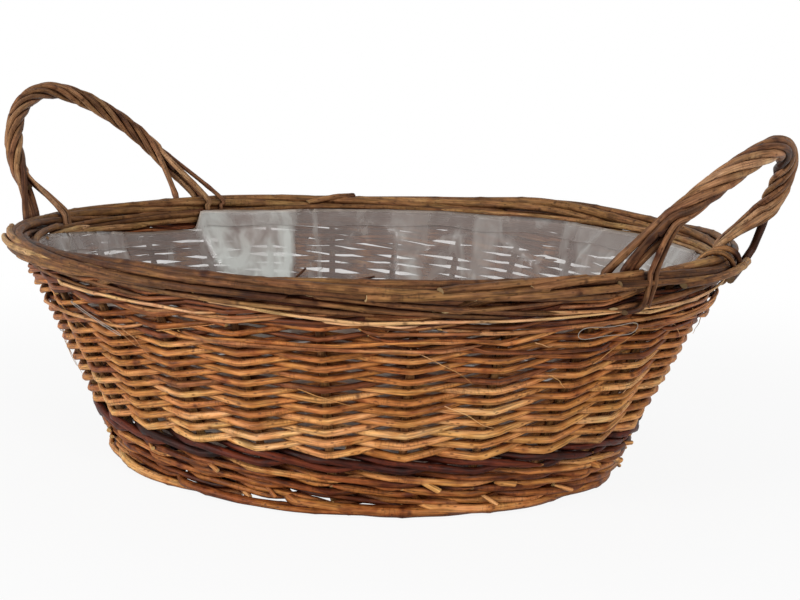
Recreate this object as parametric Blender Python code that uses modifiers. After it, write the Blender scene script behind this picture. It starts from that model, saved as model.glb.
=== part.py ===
"""A low oval willow planter basket. A flared wall is woven round upright stakes between a
dark waling at the foot and a rope-like border at the rim. Two twisted handles lean outward
at the ends, and a clear film liner sits inside, tied with nylon thread."""
import bmesh
import bpy
import math
from mathutils import Matrix, Vector

# Overall sizes, in metres
RIM_LENGTH = 0.4450
RIM_WIDTH = 0.3945
RIM_HEIGHT = 0.1385
REST_GAP = 0.0003
FILM_GAP = 0.0005
BASE_GAP = 0.0006
WELD_DISTANCE = 0.000001

# Wall line, as insets from the border's centre line
TOP_INSET = -0.0020
WAIST_INSET = 0.0540
FOOT_INSET = 0.0640
WAIST_HEIGHT = 0.0280

# Rods
STAKE_COUNT = 26
STAKE_PHASE_SHARE = 0.52
STAKE_DIAMETER = 0.0050
WEAVE_THICKNESS = 0.0036
BORDER_ROD_DIAMETER = 0.0056
BORDER_RODS = 3
BORDER_TURNS = 4
BORDER_STATIONS = 52
SIDE_BANDS = 10
BAND_ROW_COUNT = 3
DARK_WALING_ROW_COUNT = 2
ROW_GROOVE_DEPTH = 0.0011

# Heights of the wall's layers
FOOT_ROD_DIAMETER = 0.0068
FOOT_WORN_DEPTH = 0.0006
FOOT_GAP_HEIGHT = 0.0033
UPSETT_HEIGHT = 0.0120
DARK_WALING_HEIGHT = 0.0090
TOP_WALING_HEIGHT = 0.0125

# Base
STICK_DIAMETER = 0.0040
LONG_STICK_SPACING = 0.0560
CROSS_STICK_SPACING = 0.0700
CROSS_STICKS_EACH_SIDE = 1
BASE_WEAVE_THICKNESS = 0.0042
BASE_ROW_PITCH = 0.0052
BASE_GROOVE_DEPTH = 0.0016
BASE_WEAVE_SPLIT_SHARE = 0.55
BASE_WEAVE_EYE_SHARE = 0.16
BASE_STATIONS = 32

# Liner film, drawn thicker than the real film
FILM_THICKNESS = 0.0007
LINER_TOP_DROP = 0.0165
LINER_CORNER = 0.0060
LINER_LEVELS = 4

# Handles
HANDLE_OFFSET = 0.0105
HANDLE_BLEND_SHARE = 0.35
LEFT_REACH = 0.0960
LEFT_HALF_SPAN = 0.0720
LEFT_LEAN_DEGREES = 39.0
LEFT_FULLNESS = 1.90
LEFT_CORE_DIAMETER = 0.0066
LEFT_WRAP_DIAMETER = 0.0025
RIGHT_REACH = 0.0745
RIGHT_HALF_SPAN = 0.0710
RIGHT_LEAN_DEGREES = 37.0
RIGHT_FULLNESS = 1.60
RIGHT_CORE_DIAMETER = 0.0082
RIGHT_WRAP_DIAMETER = 0.0029
HANDLE_TURNS = 4
HANDLE_STATIONS = 40
WRAP_START_HEIGHT = 0.0170
WRAP_TUCK_DROP = 0.0080

# Thread ties
THREAD_DIAMETER = 0.0008
TIE_HALF_LENGTH = 0.0200
TIE_HALF_HEIGHT = 0.0024
RIGHT_TIE_STAKE = 25
LEFT_TIE_STAKE = 19
TIE_STATIONS = 14

# Materials: base colour, roughness
TAN = ((0.36, 0.19, 0.07, 1.0), 0.62)
OLIVE = ((0.27, 0.18, 0.08, 1.0), 0.65)
BROWN = ((0.26, 0.12, 0.05, 1.0), 0.65)
DARK = ((0.09, 0.035, 0.025, 1.0), 0.60)
FILM = ((0.62, 0.63, 0.62, 1.0), 0.18)
THREAD = ((0.80, 0.80, 0.80, 1.0), 0.30)

UNIT = 1.0
HALF = UNIT / 2
FULL_TURN = math.tau
STRAIGHT = math.pi


def clear_scene():
    for found in list(bpy.data.objects):
        bpy.data.objects.remove(found)


def new_collection(name):
    made = bpy.data.collections.new(name)
    bpy.context.scene.collection.children.link(made)
    return made


clear_scene()
PARTS = new_collection("willow_planter_basket")
CUTTERS = new_collection("cutters")


def material_for(name, colour, roughness):
    made = bpy.data.materials.new(name)
    made.use_nodes = True
    shader = made.node_tree.nodes["Principled BSDF"]
    shader.inputs["Base Color"].default_value = colour
    shader.inputs["Roughness"].default_value = roughness
    shader.inputs["Metallic"].default_value = 0.0
    return made


def add_part(name, mesh, look):
    made = bpy.data.objects.new(name, mesh)
    made.data.materials.clear()
    made.data.materials.append(material_for(name, *look))
    PARTS.objects.link(made)
    return made


def welded(helper, name):
    """The helper's closed mesh with its caps joined to its sides."""
    bpy.context.scene.collection.objects.link(helper)
    bpy.context.view_layer.update()
    seen = helper.evaluated_get(bpy.context.evaluated_depsgraph_get())
    mesh = bpy.data.meshes.new_from_object(seen)
    mesh.name = name
    bpy.data.objects.remove(helper)
    work = bmesh.new()
    work.from_mesh(mesh)
    bmesh.ops.remove_doubles(work, verts=work.verts, dist=WELD_DISTANCE)
    bmesh.ops.recalc_face_normals(work, faces=work.faces)
    work.to_mesh(mesh)
    work.free()
    return mesh


def path_curve(name, points, closed, tilts=None):
    curve = bpy.data.curves.new(name, "CURVE")
    curve.dimensions = "3D"
    curve.twist_mode = "Z_UP"
    curve.use_fill_caps = not closed
    line = curve.splines.new("POLY")
    line.points.add(len(points) - 1)
    for index, point in enumerate(points):
        line.points[index].co = (*point, UNIT)
        line.points[index].tilt = tilts[index] if tilts else 0.0
    line.use_cyclic_u = closed
    return curve


def rod(name, points, diameter, look, closed=False, resolution=1):
    """A round rod along a line of points."""
    curve = path_curve(name, points, closed)
    curve.twist_mode = "MINIMUM"
    curve.bevel_depth = diameter / 2
    curve.bevel_resolution = resolution
    helper = bpy.data.objects.new(name, curve)
    return add_part(name, welded(helper, name), look)


# Wall line: stakes stand on it, and the weave goes in and out round it
RISE_ANGLE = math.atan2(WAIST_INSET - TOP_INSET, RIM_HEIGHT - WAIST_HEIGHT)
FOOT_TOP = FOOT_ROD_DIAMETER - FOOT_WORN_DEPTH
FOOT_ANGLE = math.atan2(FOOT_INSET - WAIST_INSET, WAIST_HEIGHT - FOOT_TOP)


def wall_inset(height):
    if height < WAIST_HEIGHT:
        below = (WAIST_HEIGHT - height) / (WAIST_HEIGHT - FOOT_TOP)
        return WAIST_INSET + (FOOT_INSET - WAIST_INSET) * below
    above = (height - WAIST_HEIGHT) / (RIM_HEIGHT - WAIST_HEIGHT)
    return WAIST_INSET + (TOP_INSET - WAIST_INSET) * above


def wall_angle(height):
    return FOOT_ANGLE if height < WAIST_HEIGHT else RISE_ANGLE


def oval_point(inset, height, turn):
    along = (RIM_LENGTH / 2 - inset) * math.cos(turn)
    across = (RIM_WIDTH / 2 - inset) * math.sin(turn)
    return Vector((along, across, height))


def outward(turn):
    """Level direction away from the oval at a turn."""
    return Vector((math.cos(turn) / RIM_LENGTH, math.sin(turn) / RIM_WIDTH, 0.0)).normalized()


def even_turns(count, phase_share):
    """Turns that stand evenly along the oval at the wall's middle."""
    steps = count * count
    inset = (TOP_INSET + WAIST_INSET) / 2
    lengths = [0.0]
    for step in range(steps):
        start = oval_point(inset, 0.0, FULL_TURN * step / steps)
        stop = oval_point(inset, 0.0, FULL_TURN * (step + 1) / steps)
        lengths.append(lengths[-1] + (stop - start).length)
    turns = []
    step = 0
    for index in range(count):
        wanted = lengths[-1] * (index + phase_share % UNIT) / count
        while lengths[step + 1] < wanted:
            step += 1
        part = (wanted - lengths[step]) / (lengths[step + 1] - lengths[step])
        turns.append(FULL_TURN * (step + part) / steps)
    return turns


STAKE_TURNS = even_turns(STAKE_COUNT, STAKE_PHASE_SHARE)
UPSETT_BOTTOM = FOOT_TOP + FOOT_GAP_HEIGHT
DARK_BOTTOM = UPSETT_BOTTOM + UPSETT_HEIGHT
SIDE_BOTTOM = DARK_BOTTOM + DARK_WALING_HEIGHT
BORDER_SPREAD = (BORDER_ROD_DIAMETER + REST_GAP) / 2 / math.sin(STRAIGHT / BORDER_RODS)
BORDER_SPREAD /= math.cos(STRAIGHT * BORDER_TURNS / BORDER_STATIONS)
BORDER_RADIUS = BORDER_SPREAD + BORDER_ROD_DIAMETER / 2
BORDER_CENTRE = RIM_HEIGHT - BORDER_RADIUS
STAKE_TOP = BORDER_CENTRE - BORDER_RADIUS - REST_GAP
SIDE_TOP = STAKE_TOP - TOP_WALING_HEIGHT
WAVE = (STAKE_DIAMETER + WEAVE_THICKNESS) / 2 + REST_GAP
WALL_HALF = WAVE + WEAVE_THICKNESS / 2


def build_stakes():
    """One upright stake at each even turn, from the foot border to the rim border."""
    for index, turn in enumerate(STAKE_TURNS):
        low = oval_point(wall_inset(FOOT_TOP), FOOT_TOP + REST_GAP, turn)
        waist = oval_point(WAIST_INSET, WAIST_HEIGHT, turn)
        climb = (oval_point(TOP_INSET, RIM_HEIGHT, turn) - waist).normalized()
        border = oval_point(0.0, BORDER_CENTRE, turn)
        top = waist + climb * ((border - waist).dot(climb) - BORDER_RADIUS - REST_GAP)
        low.z += STAKE_DIAMETER / 2 * math.sin(FOOT_ANGLE) * HALF
        rod(f"stake_{index + 1:02d}", [low, waist, top], STAKE_DIAMETER, BROWN)


def band_section(tall, rows):
    """The outline of a band cut across: a bulge on each face for each row of rods."""
    face = []
    for place in range(2 * rows - 1):
        groove = ROW_GROOVE_DEPTH * (place % 2)
        face.append((WEAVE_THICKNESS / 2 - groove, tall * ((place + 1) / (2 * rows) - HALF)))
    back = [(-out, up) for out, up in reversed(face)]
    return [(0.0, -tall / 2), *face, (0.0, tall / 2), *back]


def build_band(name, bottom, top, first_side, rows, look):
    """A woven band of rows of rods: outside one stake and inside the next."""
    height = (bottom + top) / 2
    angle = wall_angle(height)
    tall = (top - bottom - REST_GAP) / math.cos(angle)
    points = []
    side = first_side
    for turn in STAKE_TURNS:
        lean = outward(turn) * math.cos(angle) - Vector((0.0, 0.0, math.sin(angle)))
        points.append(oval_point(wall_inset(height), height, turn) + lean * WAVE * side)
        side = -side
    curve = path_curve(name, points, True, [angle] * len(points))
    profile = bpy.data.curves.new(name + "_profile", "CURVE")
    profile.dimensions = "2D"
    edge = profile.splines.new("POLY")
    outline = band_section(tall, rows)
    edge.points.add(len(outline) - 1)
    for index, (out, up) in enumerate(outline):
        edge.points[index].co = (out, up, 0.0, UNIT)
    edge.use_cyclic_u = True
    shape = bpy.data.objects.new(name + "_profile", profile)
    curve.bevel_mode = "OBJECT"
    curve.bevel_object = shape
    helper = bpy.data.objects.new(name, curve)
    made = add_part(name, welded(helper, name), look)
    bpy.data.objects.remove(shape)
    return made


def build_wall():
    build_band("upsett_waling", UPSETT_BOTTOM, DARK_BOTTOM, -1, BAND_ROW_COUNT, OLIVE)
    build_band("dark_foot_waling", DARK_BOTTOM, SIDE_BOTTOM, 1, DARK_WALING_ROW_COUNT, DARK)
    side = -1
    pitch = (SIDE_TOP - SIDE_BOTTOM) / SIDE_BANDS
    for index in range(SIDE_BANDS):
        bottom = SIDE_BOTTOM + pitch * index
        look = BROWN if index % 3 == 2 else TAN
        build_band(f"side_weave_{index + 1:02d}", bottom, bottom + pitch, side, BAND_ROW_COUNT, look)
        side = -side
    build_band("top_waling", SIDE_TOP, STAKE_TOP - REST_GAP, side, BAND_ROW_COUNT, OLIVE)


def build_border():
    """Three rods that turn slowly round one another along the rim."""
    for index in range(BORDER_RODS):
        points = []
        for step in range(BORDER_STATIONS):
            turn = FULL_TURN * step / BORDER_STATIONS
            roll = turn * BORDER_TURNS + FULL_TURN * index / BORDER_RODS
            centre = oval_point(0.0, BORDER_CENTRE, turn)
            reach = outward(turn) * math.cos(roll) + Vector((0.0, 0.0, math.sin(roll)))
            points.append(centre + reach * BORDER_SPREAD)
        rod(f"border_rod_{index + 1}", points, BORDER_ROD_DIAMETER, OLIVE, closed=True)


def build_foot_border():
    """The rod ring that the basket stands on, worn flat underneath."""
    height = FOOT_TOP - FOOT_ROD_DIAMETER / 2
    points = []
    for step in range(BORDER_STATIONS):
        turn = FULL_TURN * step / BORDER_STATIONS
        points.append(oval_point(FOOT_INSET, height, turn))
    foot = rod("foot_border", points, FOOT_ROD_DIAMETER, BROWN, closed=True, resolution=2)
    bpy.ops.mesh.primitive_cube_add(size=UNIT)
    cutter = bpy.context.object
    cutter.name = "ground_cut"
    cutter.data.transform(Matrix.Diagonal((RIM_LENGTH, RIM_WIDTH, FOOT_ROD_DIAMETER, UNIT)))
    cutter.data.transform(Matrix.Translation((0.0, 0.0, -FOOT_ROD_DIAMETER / 2)))
    for holder in list(cutter.users_collection):
        holder.objects.unlink(cutter)
    CUTTERS.objects.link(cutter)
    cutter.hide_render = True
    cutter.display_type = "WIRE"
    cut = foot.modifiers.new("flat underside", "BOOLEAN")
    cut.operation = "DIFFERENCE"
    cut.solver = "EXACT"
    cut.object = cutter


# Base: long sticks, cross sticks on them, and two woven rings on top
LONG_STICK_HEIGHT = UPSETT_BOTTOM + STICK_DIAMETER / 2
CROSS_STICK_HEIGHT = LONG_STICK_HEIGHT + STICK_DIAMETER + REST_GAP
BASE_WEAVE_BOTTOM = CROSS_STICK_HEIGHT + STICK_DIAMETER / 2 + REST_GAP
BASE_TOP = BASE_WEAVE_BOTTOM + BASE_WEAVE_THICKNESS


def build_sticks():
    """Sticks run from side to side and stop just inside the upsett."""
    inset = wall_inset(UPSETT_BOTTOM) + WALL_HALF / math.cos(FOOT_ANGLE) + BASE_GAP
    half_length = RIM_LENGTH / 2 - inset
    half_width = RIM_WIDTH / 2 - inset
    for index, place in enumerate((-HALF, HALF)):
        across = LONG_STICK_SPACING * place
        reach = half_length * math.sqrt(UNIT - (across / half_width) ** 2)
        start = Vector((-reach, across, LONG_STICK_HEIGHT))
        stop = Vector((reach, across, LONG_STICK_HEIGHT))
        rod(f"base_long_stick_{index + 1}", [start, stop], STICK_DIAMETER, BROWN)
    count = 2 * CROSS_STICKS_EACH_SIDE + 1
    for index in range(count):
        along = CROSS_STICK_SPACING * (index - CROSS_STICKS_EACH_SIDE)
        reach = half_width * math.sqrt(UNIT - (along / half_length) ** 2)
        start = Vector((along, -reach, CROSS_STICK_HEIGHT))
        stop = Vector((along, reach, CROSS_STICK_HEIGHT))
        rod(f"base_cross_stick_{index + 1}", [start, stop], STICK_DIAMETER, BROWN)


def build_base_ring(name, outer_share, inner_share):
    """An oval ring between two shares of the base, its top ribbed like the rods in it."""
    inset = wall_inset(BASE_WEAVE_BOTTOM) + WALL_HALF / math.cos(FOOT_ANGLE) + BASE_GAP
    half_length = RIM_LENGTH / 2 - inset
    half_width = RIM_WIDTH / 2 - inset
    rows = max(round((outer_share - inner_share) * half_length / BASE_ROW_PITCH), 1)
    work = bmesh.new()
    loop = [
        work.verts.new((outer_share, 0.0, BASE_WEAVE_BOTTOM)),
        work.verts.new((inner_share, 0.0, BASE_WEAVE_BOTTOM)),
    ]
    for place in range(2 * rows + 1):
        share = inner_share + (outer_share - inner_share) * place / (2 * rows)
        groove = 0.0 if place % 2 else BASE_GROOVE_DEPTH
        loop.append(work.verts.new((share, 0.0, BASE_TOP - groove)))
    for start, stop in zip(loop, loop[1:] + loop[:1]):
        work.edges.new((start, stop))
    section = bpy.data.meshes.new(name + "_section")
    work.to_mesh(section)
    work.free()
    helper = bpy.data.objects.new(name, section)
    turned = helper.modifiers.new("turned", "SCREW")
    turned.steps = BASE_STATIONS
    turned.render_steps = BASE_STATIONS
    turned.use_merge_vertices = True
    turned.merge_threshold = WELD_DISTANCE
    mesh = welded(helper, name)
    mesh.transform(Matrix.Diagonal((half_length, half_width, UNIT, UNIT)))
    add_part(name, mesh, OLIVE)


def build_base():
    build_sticks()
    gap_share = REST_GAP / RIM_WIDTH * 4
    build_base_ring("base_weave_outer", UNIT, BASE_WEAVE_SPLIT_SHARE + gap_share)
    build_base_ring("base_weave_inner", BASE_WEAVE_SPLIT_SHARE, BASE_WEAVE_EYE_SHARE)


def build_liner():
    """A thin open tub of film that backs onto the weave and rests on the base."""
    film_inset = WALL_HALF / math.cos(RISE_ANGLE) + FILM_GAP
    floor = BASE_TOP + REST_GAP
    top = RIM_HEIGHT - LINER_TOP_DROP
    rings = [(wall_inset(floor) + film_inset + LINER_CORNER, floor)]
    low = floor + LINER_CORNER
    for level in range(LINER_LEVELS):
        height = low + (top - low) * level / (LINER_LEVELS - 1)
        rings.append((wall_inset(height) + film_inset, height))
    work = bmesh.new()
    turns = even_turns(STAKE_COUNT * 2, STAKE_PHASE_SHARE * 2)
    loops = []
    for inset, height in rings:
        loops.append([work.verts.new(oval_point(inset, height, turn)) for turn in turns])
    count = len(turns)
    for lower, upper in zip(loops, loops[1:]):
        for step in range(count):
            after = (step + 1) % count
            work.faces.new((lower[step], lower[after], upper[after], upper[step]))
    centre = work.verts.new((0.0, 0.0, floor))
    for step in range(count):
        work.faces.new((centre, loops[0][(step + 1) % count], loops[0][step]))
    bmesh.ops.recalc_face_normals(work, faces=work.faces)
    mesh = bpy.data.meshes.new("liner_film")
    work.to_mesh(mesh)
    work.free()
    liner = add_part("liner_film", mesh, FILM)
    film = liner.modifiers.new("film", "SOLIDIFY")
    film.thickness = FILM_THICKNESS
    film.offset = -UNIT if mesh.polygons[0].normal.dot(Vector((UNIT, 0.0, 0.0))) > 0 else UNIT
    film.use_even_offset = True


def build_handle(side_name, side, reach, half_span, lean_degrees, fullness, core_diameter, wrap_diameter):
    """A bow of one core rod with two rods twisted round it, their ends over the border."""
    lean = math.radians(lean_degrees)
    half_width = RIM_WIDTH / 2
    root = RIM_LENGTH / 2 * math.sqrt(UNIT - (half_span / half_width) ** 2)
    root_turn = math.atan2(half_span / half_width, root / (RIM_LENGTH / 2))
    foot_height = RIM_HEIGHT + REST_GAP + core_diameter / 2
    axis = Vector((side * math.sin(lean), 0.0, math.cos(lean)))
    middle = Vector((side * root, 0.0, foot_height))
    core = []
    for step in range(HANDLE_STATIONS + 1):
        turn = STRAIGHT * step / HANDLE_STATIONS
        across = math.copysign(abs(math.cos(turn)) ** (2 / fullness), math.cos(turn))
        climb = max(math.sin(turn), 0.0) ** (2 / fullness)
        bulge = side * HANDLE_OFFSET * min(climb / HANDLE_BLEND_SHARE, UNIT)
        core.append(middle + Vector((bulge, -half_span * across, 0.0)) + axis * reach * climb)
    core = even_path(core, HANDLE_STATIONS)
    rod(f"{side_name}_handle_core", core, core_diameter, OLIVE, resolution=1)
    ring = (core_diameter + wrap_diameter) / 2 + REST_GAP
    start_height = RIM_HEIGHT + WRAP_START_HEIGHT
    inside = [index for index, point in enumerate(core) if point.z > start_height]
    ring /= math.cos(STRAIGHT * HANDLE_TURNS / (len(inside) - 1))
    for index, shift in enumerate((UNIT, -UNIT)):
        points = []
        for step in inside:
            ahead = (core[min(step + 1, len(core) - 1)] - core[max(step - 1, 0)]).normalized()
            share = (step - inside[0]) / (inside[-1] - inside[0])
            roll = FULL_TURN * HANDLE_TURNS * share
            # The helix starts and ends with one rod outside and the other inside
            away = axis_side(side, ahead) * shift
            turned = Matrix.Rotation(roll, 3, ahead) @ away
            points.append(core[step] + turned * ring)
        points = tuck(points, side, shift, root_turn, wrap_diameter)
        rod(f"{side_name}_handle_wrap_{index + 1}", points, wrap_diameter, TAN, resolution=1)


def axis_side(side, ahead):
    """The direction across the rope that points away from the basket."""
    level = Vector((side, 0.0, 0.0))
    return (level - ahead * level.dot(ahead)).normalized()


def even_path(points, count):
    """The same line with evenly spaced points."""
    lengths = [0.0]
    for start, stop in zip(points, points[1:]):
        lengths.append(lengths[-1] + (stop - start).length)
    out = []
    place = 0
    for step in range(count + 1):
        wanted = lengths[-1] * step / count
        while place < len(points) - 2 and lengths[place + 1] < wanted:
            place += 1
        part = (wanted - lengths[place]) / (lengths[place + 1] - lengths[place])
        out.append(points[place].lerp(points[place + 1], min(part, UNIT)))
    return out


def tuck(points, side, shift, root_turn, diameter):
    """Carries a twisted rod's two ends over the border, outside or inside it."""
    made = list(points)
    clear = BORDER_RADIUS + diameter / 2 + REST_GAP * 2
    for end in (0, 1):
        turn = -root_turn if end == 0 else root_turn
        if side < 0:
            turn = STRAIGHT - turn
        away = outward(turn) * shift
        centre = oval_point(0.0, BORDER_CENTRE, turn)
        beside = centre + away * clear
        under = centre + away * (clear - REST_GAP) + Vector((0.0, 0.0, -WRAP_TUCK_DROP * HALF))
        over = beside + Vector((0.0, 0.0, BORDER_RADIUS))
        tail = [over, beside, under]
        made = tail[::-1] + made if end == 0 else made + tail
    return made


def build_tie(name, stake):
    """A slack loop of thread that lies on the topmost side band where it passes a stake."""
    turn = STAKE_TURNS[stake - 1]
    height = SIDE_TOP - (SIDE_TOP - SIDE_BOTTOM) / SIDE_BANDS / 2
    inset = wall_inset(height)
    away = outward(turn)
    angle = wall_angle(height)
    lean = away * math.cos(angle) - Vector((0.0, 0.0, math.sin(angle)))
    along = Vector((0.0, 0.0, UNIT)).cross(away)
    rise = along.cross(lean) * -UNIT
    clear = WALL_HALF + THREAD_DIAMETER / 2 + REST_GAP
    centre = oval_point(inset, height, turn) + lean * clear
    points = []
    for step in range(TIE_STATIONS):
        around = FULL_TURN * step / TIE_STATIONS
        slide = TIE_HALF_LENGTH * math.cos(around)
        points.append(centre + along * slide + rise * TIE_HALF_HEIGHT * math.sin(around))
    rod(name, points, THREAD_DIAMETER, THREAD, closed=True, resolution=0)


def centre_on_origin():
    """Moves the whole basket so that its box is centred over the origin."""
    low = [math.inf, math.inf]
    high = [-math.inf, -math.inf]
    for made in PARTS.objects:
        for vertex in made.data.vertices:
            for axis in (0, 1):
                low[axis] = min(low[axis], vertex.co[axis])
                high[axis] = max(high[axis], vertex.co[axis])
    shift = Matrix.Translation((-(low[0] + high[0]) / 2, -(low[1] + high[1]) / 2, 0.0))
    for made in PARTS.objects:
        made.data.transform(shift)


build_foot_border()
build_stakes()
build_wall()
build_border()
build_base()
build_liner()
build_handle("left", -1, LEFT_REACH, LEFT_HALF_SPAN, LEFT_LEAN_DEGREES, LEFT_FULLNESS,
             LEFT_CORE_DIAMETER, LEFT_WRAP_DIAMETER)
build_handle("right", 1, RIGHT_REACH, RIGHT_HALF_SPAN, RIGHT_LEAN_DEGREES, RIGHT_FULLNESS,
             RIGHT_CORE_DIAMETER, RIGHT_WRAP_DIAMETER)
build_tie("liner_tie_right", RIGHT_TIE_STAKE)
build_tie("liner_tie_left", LEFT_TIE_STAKE)
centre_on_origin()
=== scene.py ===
# %% [markdown]
# # A willow planter basket with a clear film liner
#
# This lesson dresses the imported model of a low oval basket. Unpeeled willow rods are woven
# round upright stakes, a thick border finishes the rim, two twisted handles lean outward,
# and a thin film liner keeps the soil in. Every rod here is a real tube that goes in front
# of one stake and behind the next, because the gaps and the shadows between rods are most
# of what the eye reads as basketwork. A flat pattern could not throw those shadows.

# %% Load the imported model
import itertools
import math

import bpy
import numpy as np
from mathutils import Matrix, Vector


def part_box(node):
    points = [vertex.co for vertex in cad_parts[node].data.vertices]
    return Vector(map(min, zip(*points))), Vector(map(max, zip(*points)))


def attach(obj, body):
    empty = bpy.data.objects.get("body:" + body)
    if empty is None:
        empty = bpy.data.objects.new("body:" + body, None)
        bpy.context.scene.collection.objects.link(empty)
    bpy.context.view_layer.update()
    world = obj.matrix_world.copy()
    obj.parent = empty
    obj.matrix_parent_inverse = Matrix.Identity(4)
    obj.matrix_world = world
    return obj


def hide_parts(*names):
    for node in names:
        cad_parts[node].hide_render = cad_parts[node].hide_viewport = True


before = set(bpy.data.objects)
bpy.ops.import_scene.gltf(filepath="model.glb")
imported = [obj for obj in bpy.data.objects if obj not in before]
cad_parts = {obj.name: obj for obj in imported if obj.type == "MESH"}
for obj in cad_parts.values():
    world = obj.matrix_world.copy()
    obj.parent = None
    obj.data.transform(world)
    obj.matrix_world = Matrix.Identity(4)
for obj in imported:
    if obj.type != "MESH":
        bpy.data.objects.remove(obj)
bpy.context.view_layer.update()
MM = 0.001
dice = np.random.default_rng(26)

# %% [markdown]
# ## The wall that everything follows
#
# The basket is an oval that flares out as it rises. The rim's size comes from the box of the
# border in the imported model, and the insets say how far inside the border's centre line the
# wall stands at its waist and at its foot. One function gives a point of the wall for a turn
# round the oval, a height, and a distance out of the wall. All rods are drawn through it.


# %% Measure the rim and the foot
def corners(name):
    """The lowest and the highest corner of a node."""
    return [np.array(corner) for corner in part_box(name)]


BORDER_NODES = ["border_rod_1", "border_rod_2", "border_rod_3"]
rim_low = np.min([corners(name)[0] for name in BORDER_NODES], axis=0)
rim_high = np.max([corners(name)[1] for name in BORDER_NODES], axis=0)
BORDER_RADIUS = (rim_high[2] - rim_low[2]) / 2
BORDER_HEIGHT = (rim_high[2] + rim_low[2]) / 2
HALF_LENGTH = (rim_high[0] - rim_low[0]) / 2 - BORDER_RADIUS
HALF_WIDTH = (rim_high[1] - rim_low[1]) / 2 - BORDER_RADIUS
CENTRE_X = (rim_high[0] + rim_low[0]) / 2
TOP_INSET = 1.0 * MM
WAIST_INSET = 54.0 * MM
FOOT_INSET = 64.0 * MM
WAIST_HEIGHT = 28.0 * MM
# The basket has been pushed a little to the left at its foot
FOOT_SHIFT = (-3.0 * MM, -0.8 * MM)
RIM_TOP = rim_high[2]
FOOT_TOP = corners("foot_border")[1][2]
RISE_ANGLE = math.atan2(WAIST_INSET - TOP_INSET, RIM_TOP - WAIST_HEIGHT)
FOOT_ANGLE = math.atan2(FOOT_INSET - WAIST_INSET, WAIST_HEIGHT - FOOT_TOP)
print("rim half sizes", HALF_LENGTH, HALF_WIDTH, "border radius", BORDER_RADIUS)


# %% Points on the wall
def wall_inset(height):
    """How far inside the border's centre line the wall stands at a height."""
    below = (FOOT_INSET - WAIST_INSET) * (WAIST_HEIGHT - height) / (WAIST_HEIGHT - FOOT_TOP)
    above = (TOP_INSET - WAIST_INSET) * (height - WAIST_HEIGHT) / (RIM_TOP - WAIST_HEIGHT)
    return WAIST_INSET + np.where(height < WAIST_HEIGHT, below, above)


def oval(inset, height, turn):
    below = np.clip((BORDER_HEIGHT - height) / (BORDER_HEIGHT - WAIST_HEIGHT), 0.0, 1.0) ** 2
    along = CENTRE_X + FOOT_SHIFT[0] * below + (HALF_LENGTH - inset) * np.cos(turn)
    across = FOOT_SHIFT[1] * below + (HALF_WIDTH - inset) * np.sin(turn)
    return np.stack(np.broadcast_arrays(along, across, height), axis=-1)


def outward(turn):
    away = np.stack([np.cos(turn) / HALF_LENGTH, np.sin(turn) / HALF_WIDTH, np.zeros_like(turn)], axis=-1)
    return away / np.linalg.norm(away, axis=-1, keepdims=True)


def wall(turn, height, out, lift=0.0):
    """A point of the wall, moved out of it and lifted up along it."""
    turn, height, out, lift = np.broadcast_arrays(turn, height, out, lift)
    lean = np.where(height < WAIST_HEIGHT, FOOT_ANGLE, RISE_ANGLE)
    away = outward(turn)
    up = np.array([0.0, 0.0, 1.0])
    normal = away * np.cos(lean)[..., None] - up * np.sin(lean)[..., None]
    slope = away * np.sin(lean)[..., None] + up * np.cos(lean)[..., None]
    return oval(wall_inset(height), height, turn) + normal * out[..., None] + slope * lift[..., None]


def metres_per_radian(turn):
    """How far the border's centre line runs for each radian of turn."""
    return math.hypot(HALF_LENGTH * math.sin(turn), HALF_WIDTH * math.cos(turn))


print("the wall leans out by", round(math.degrees(RISE_ANGLE), 1), "degrees")

# %% Turns at which the stakes stand
STAKES = sorted(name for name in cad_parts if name.startswith("stake_"))
COUNT = len(STAKES)


def stake_turn(name):
    spots = np.array([vertex.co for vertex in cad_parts[name].data.vertices])
    middle = spots[np.argsort(spots[:, 2])][len(spots) // 3: -(len(spots) // 3)].mean(axis=0)
    across = middle[1] / (HALF_WIDTH - WAIST_INSET)
    along = (middle[0] - CENTRE_X) / (HALF_LENGTH - WAIST_INSET)
    return math.atan2(across, along) % math.tau


TURNS = np.array([stake_turn(name) for name in STAKES])


def turn_at(step):
    """The turn at a stake number, which may lie between stakes and run past a full round."""
    laps = np.concatenate([TURNS + math.tau * lap for lap in range(-1, 4)])
    return np.interp(step, np.arange(-COUNT, 4 * COUNT), laps)


print(COUNT, "stakes, first turns", TURNS[:3])

# %% [markdown]
# ## A willow rod as a mesh
#
# A rod is a long shoot: thick at the butt, thin at the tip, never quite round, and swollen a
# little at each bud. A curve with a bevel would be quicker to make, but it can't carry what
# the bark needs: a coordinate that runs along the rod and round it, whatever way the rod
# bends. So the tube is built by hand, ring after ring, with that coordinate stored as the
# attribute `grain`, in metres. `tone` says how light this rod is, and `cut` marks its ends.


# %% Lines of points
def unit(vectors):
    return vectors / np.maximum(np.linalg.norm(vectors, axis=-1, keepdims=True), 1e-12)


def eased(part):
    """Starts and stops gently on its way from 0 to 1."""
    return part * part * (3.0 - 2.0 * part)


def run_along(points):
    """How far along the line each of its points lies."""
    steps = np.linalg.norm(np.diff(points, axis=0), axis=1)
    return np.concatenate([[0.0], np.cumsum(steps)])


def spread_evenly(points, gap):
    """The same line with points a steady gap apart."""
    along = run_along(points)
    wanted = np.linspace(0.0, along[-1], max(int(along[-1] / gap) + 1, 4))
    return np.stack([np.interp(wanted, along, points[:, axis]) for axis in range(3)], axis=1)


def softened(line, rounds):
    """The same line with its corners rounded off. Its ends stay."""
    for _ in range(rounds):
        line[1:-1] = (line[:-2] + 2 * line[1:-1] + line[2:]) / 4
    return line


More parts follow.
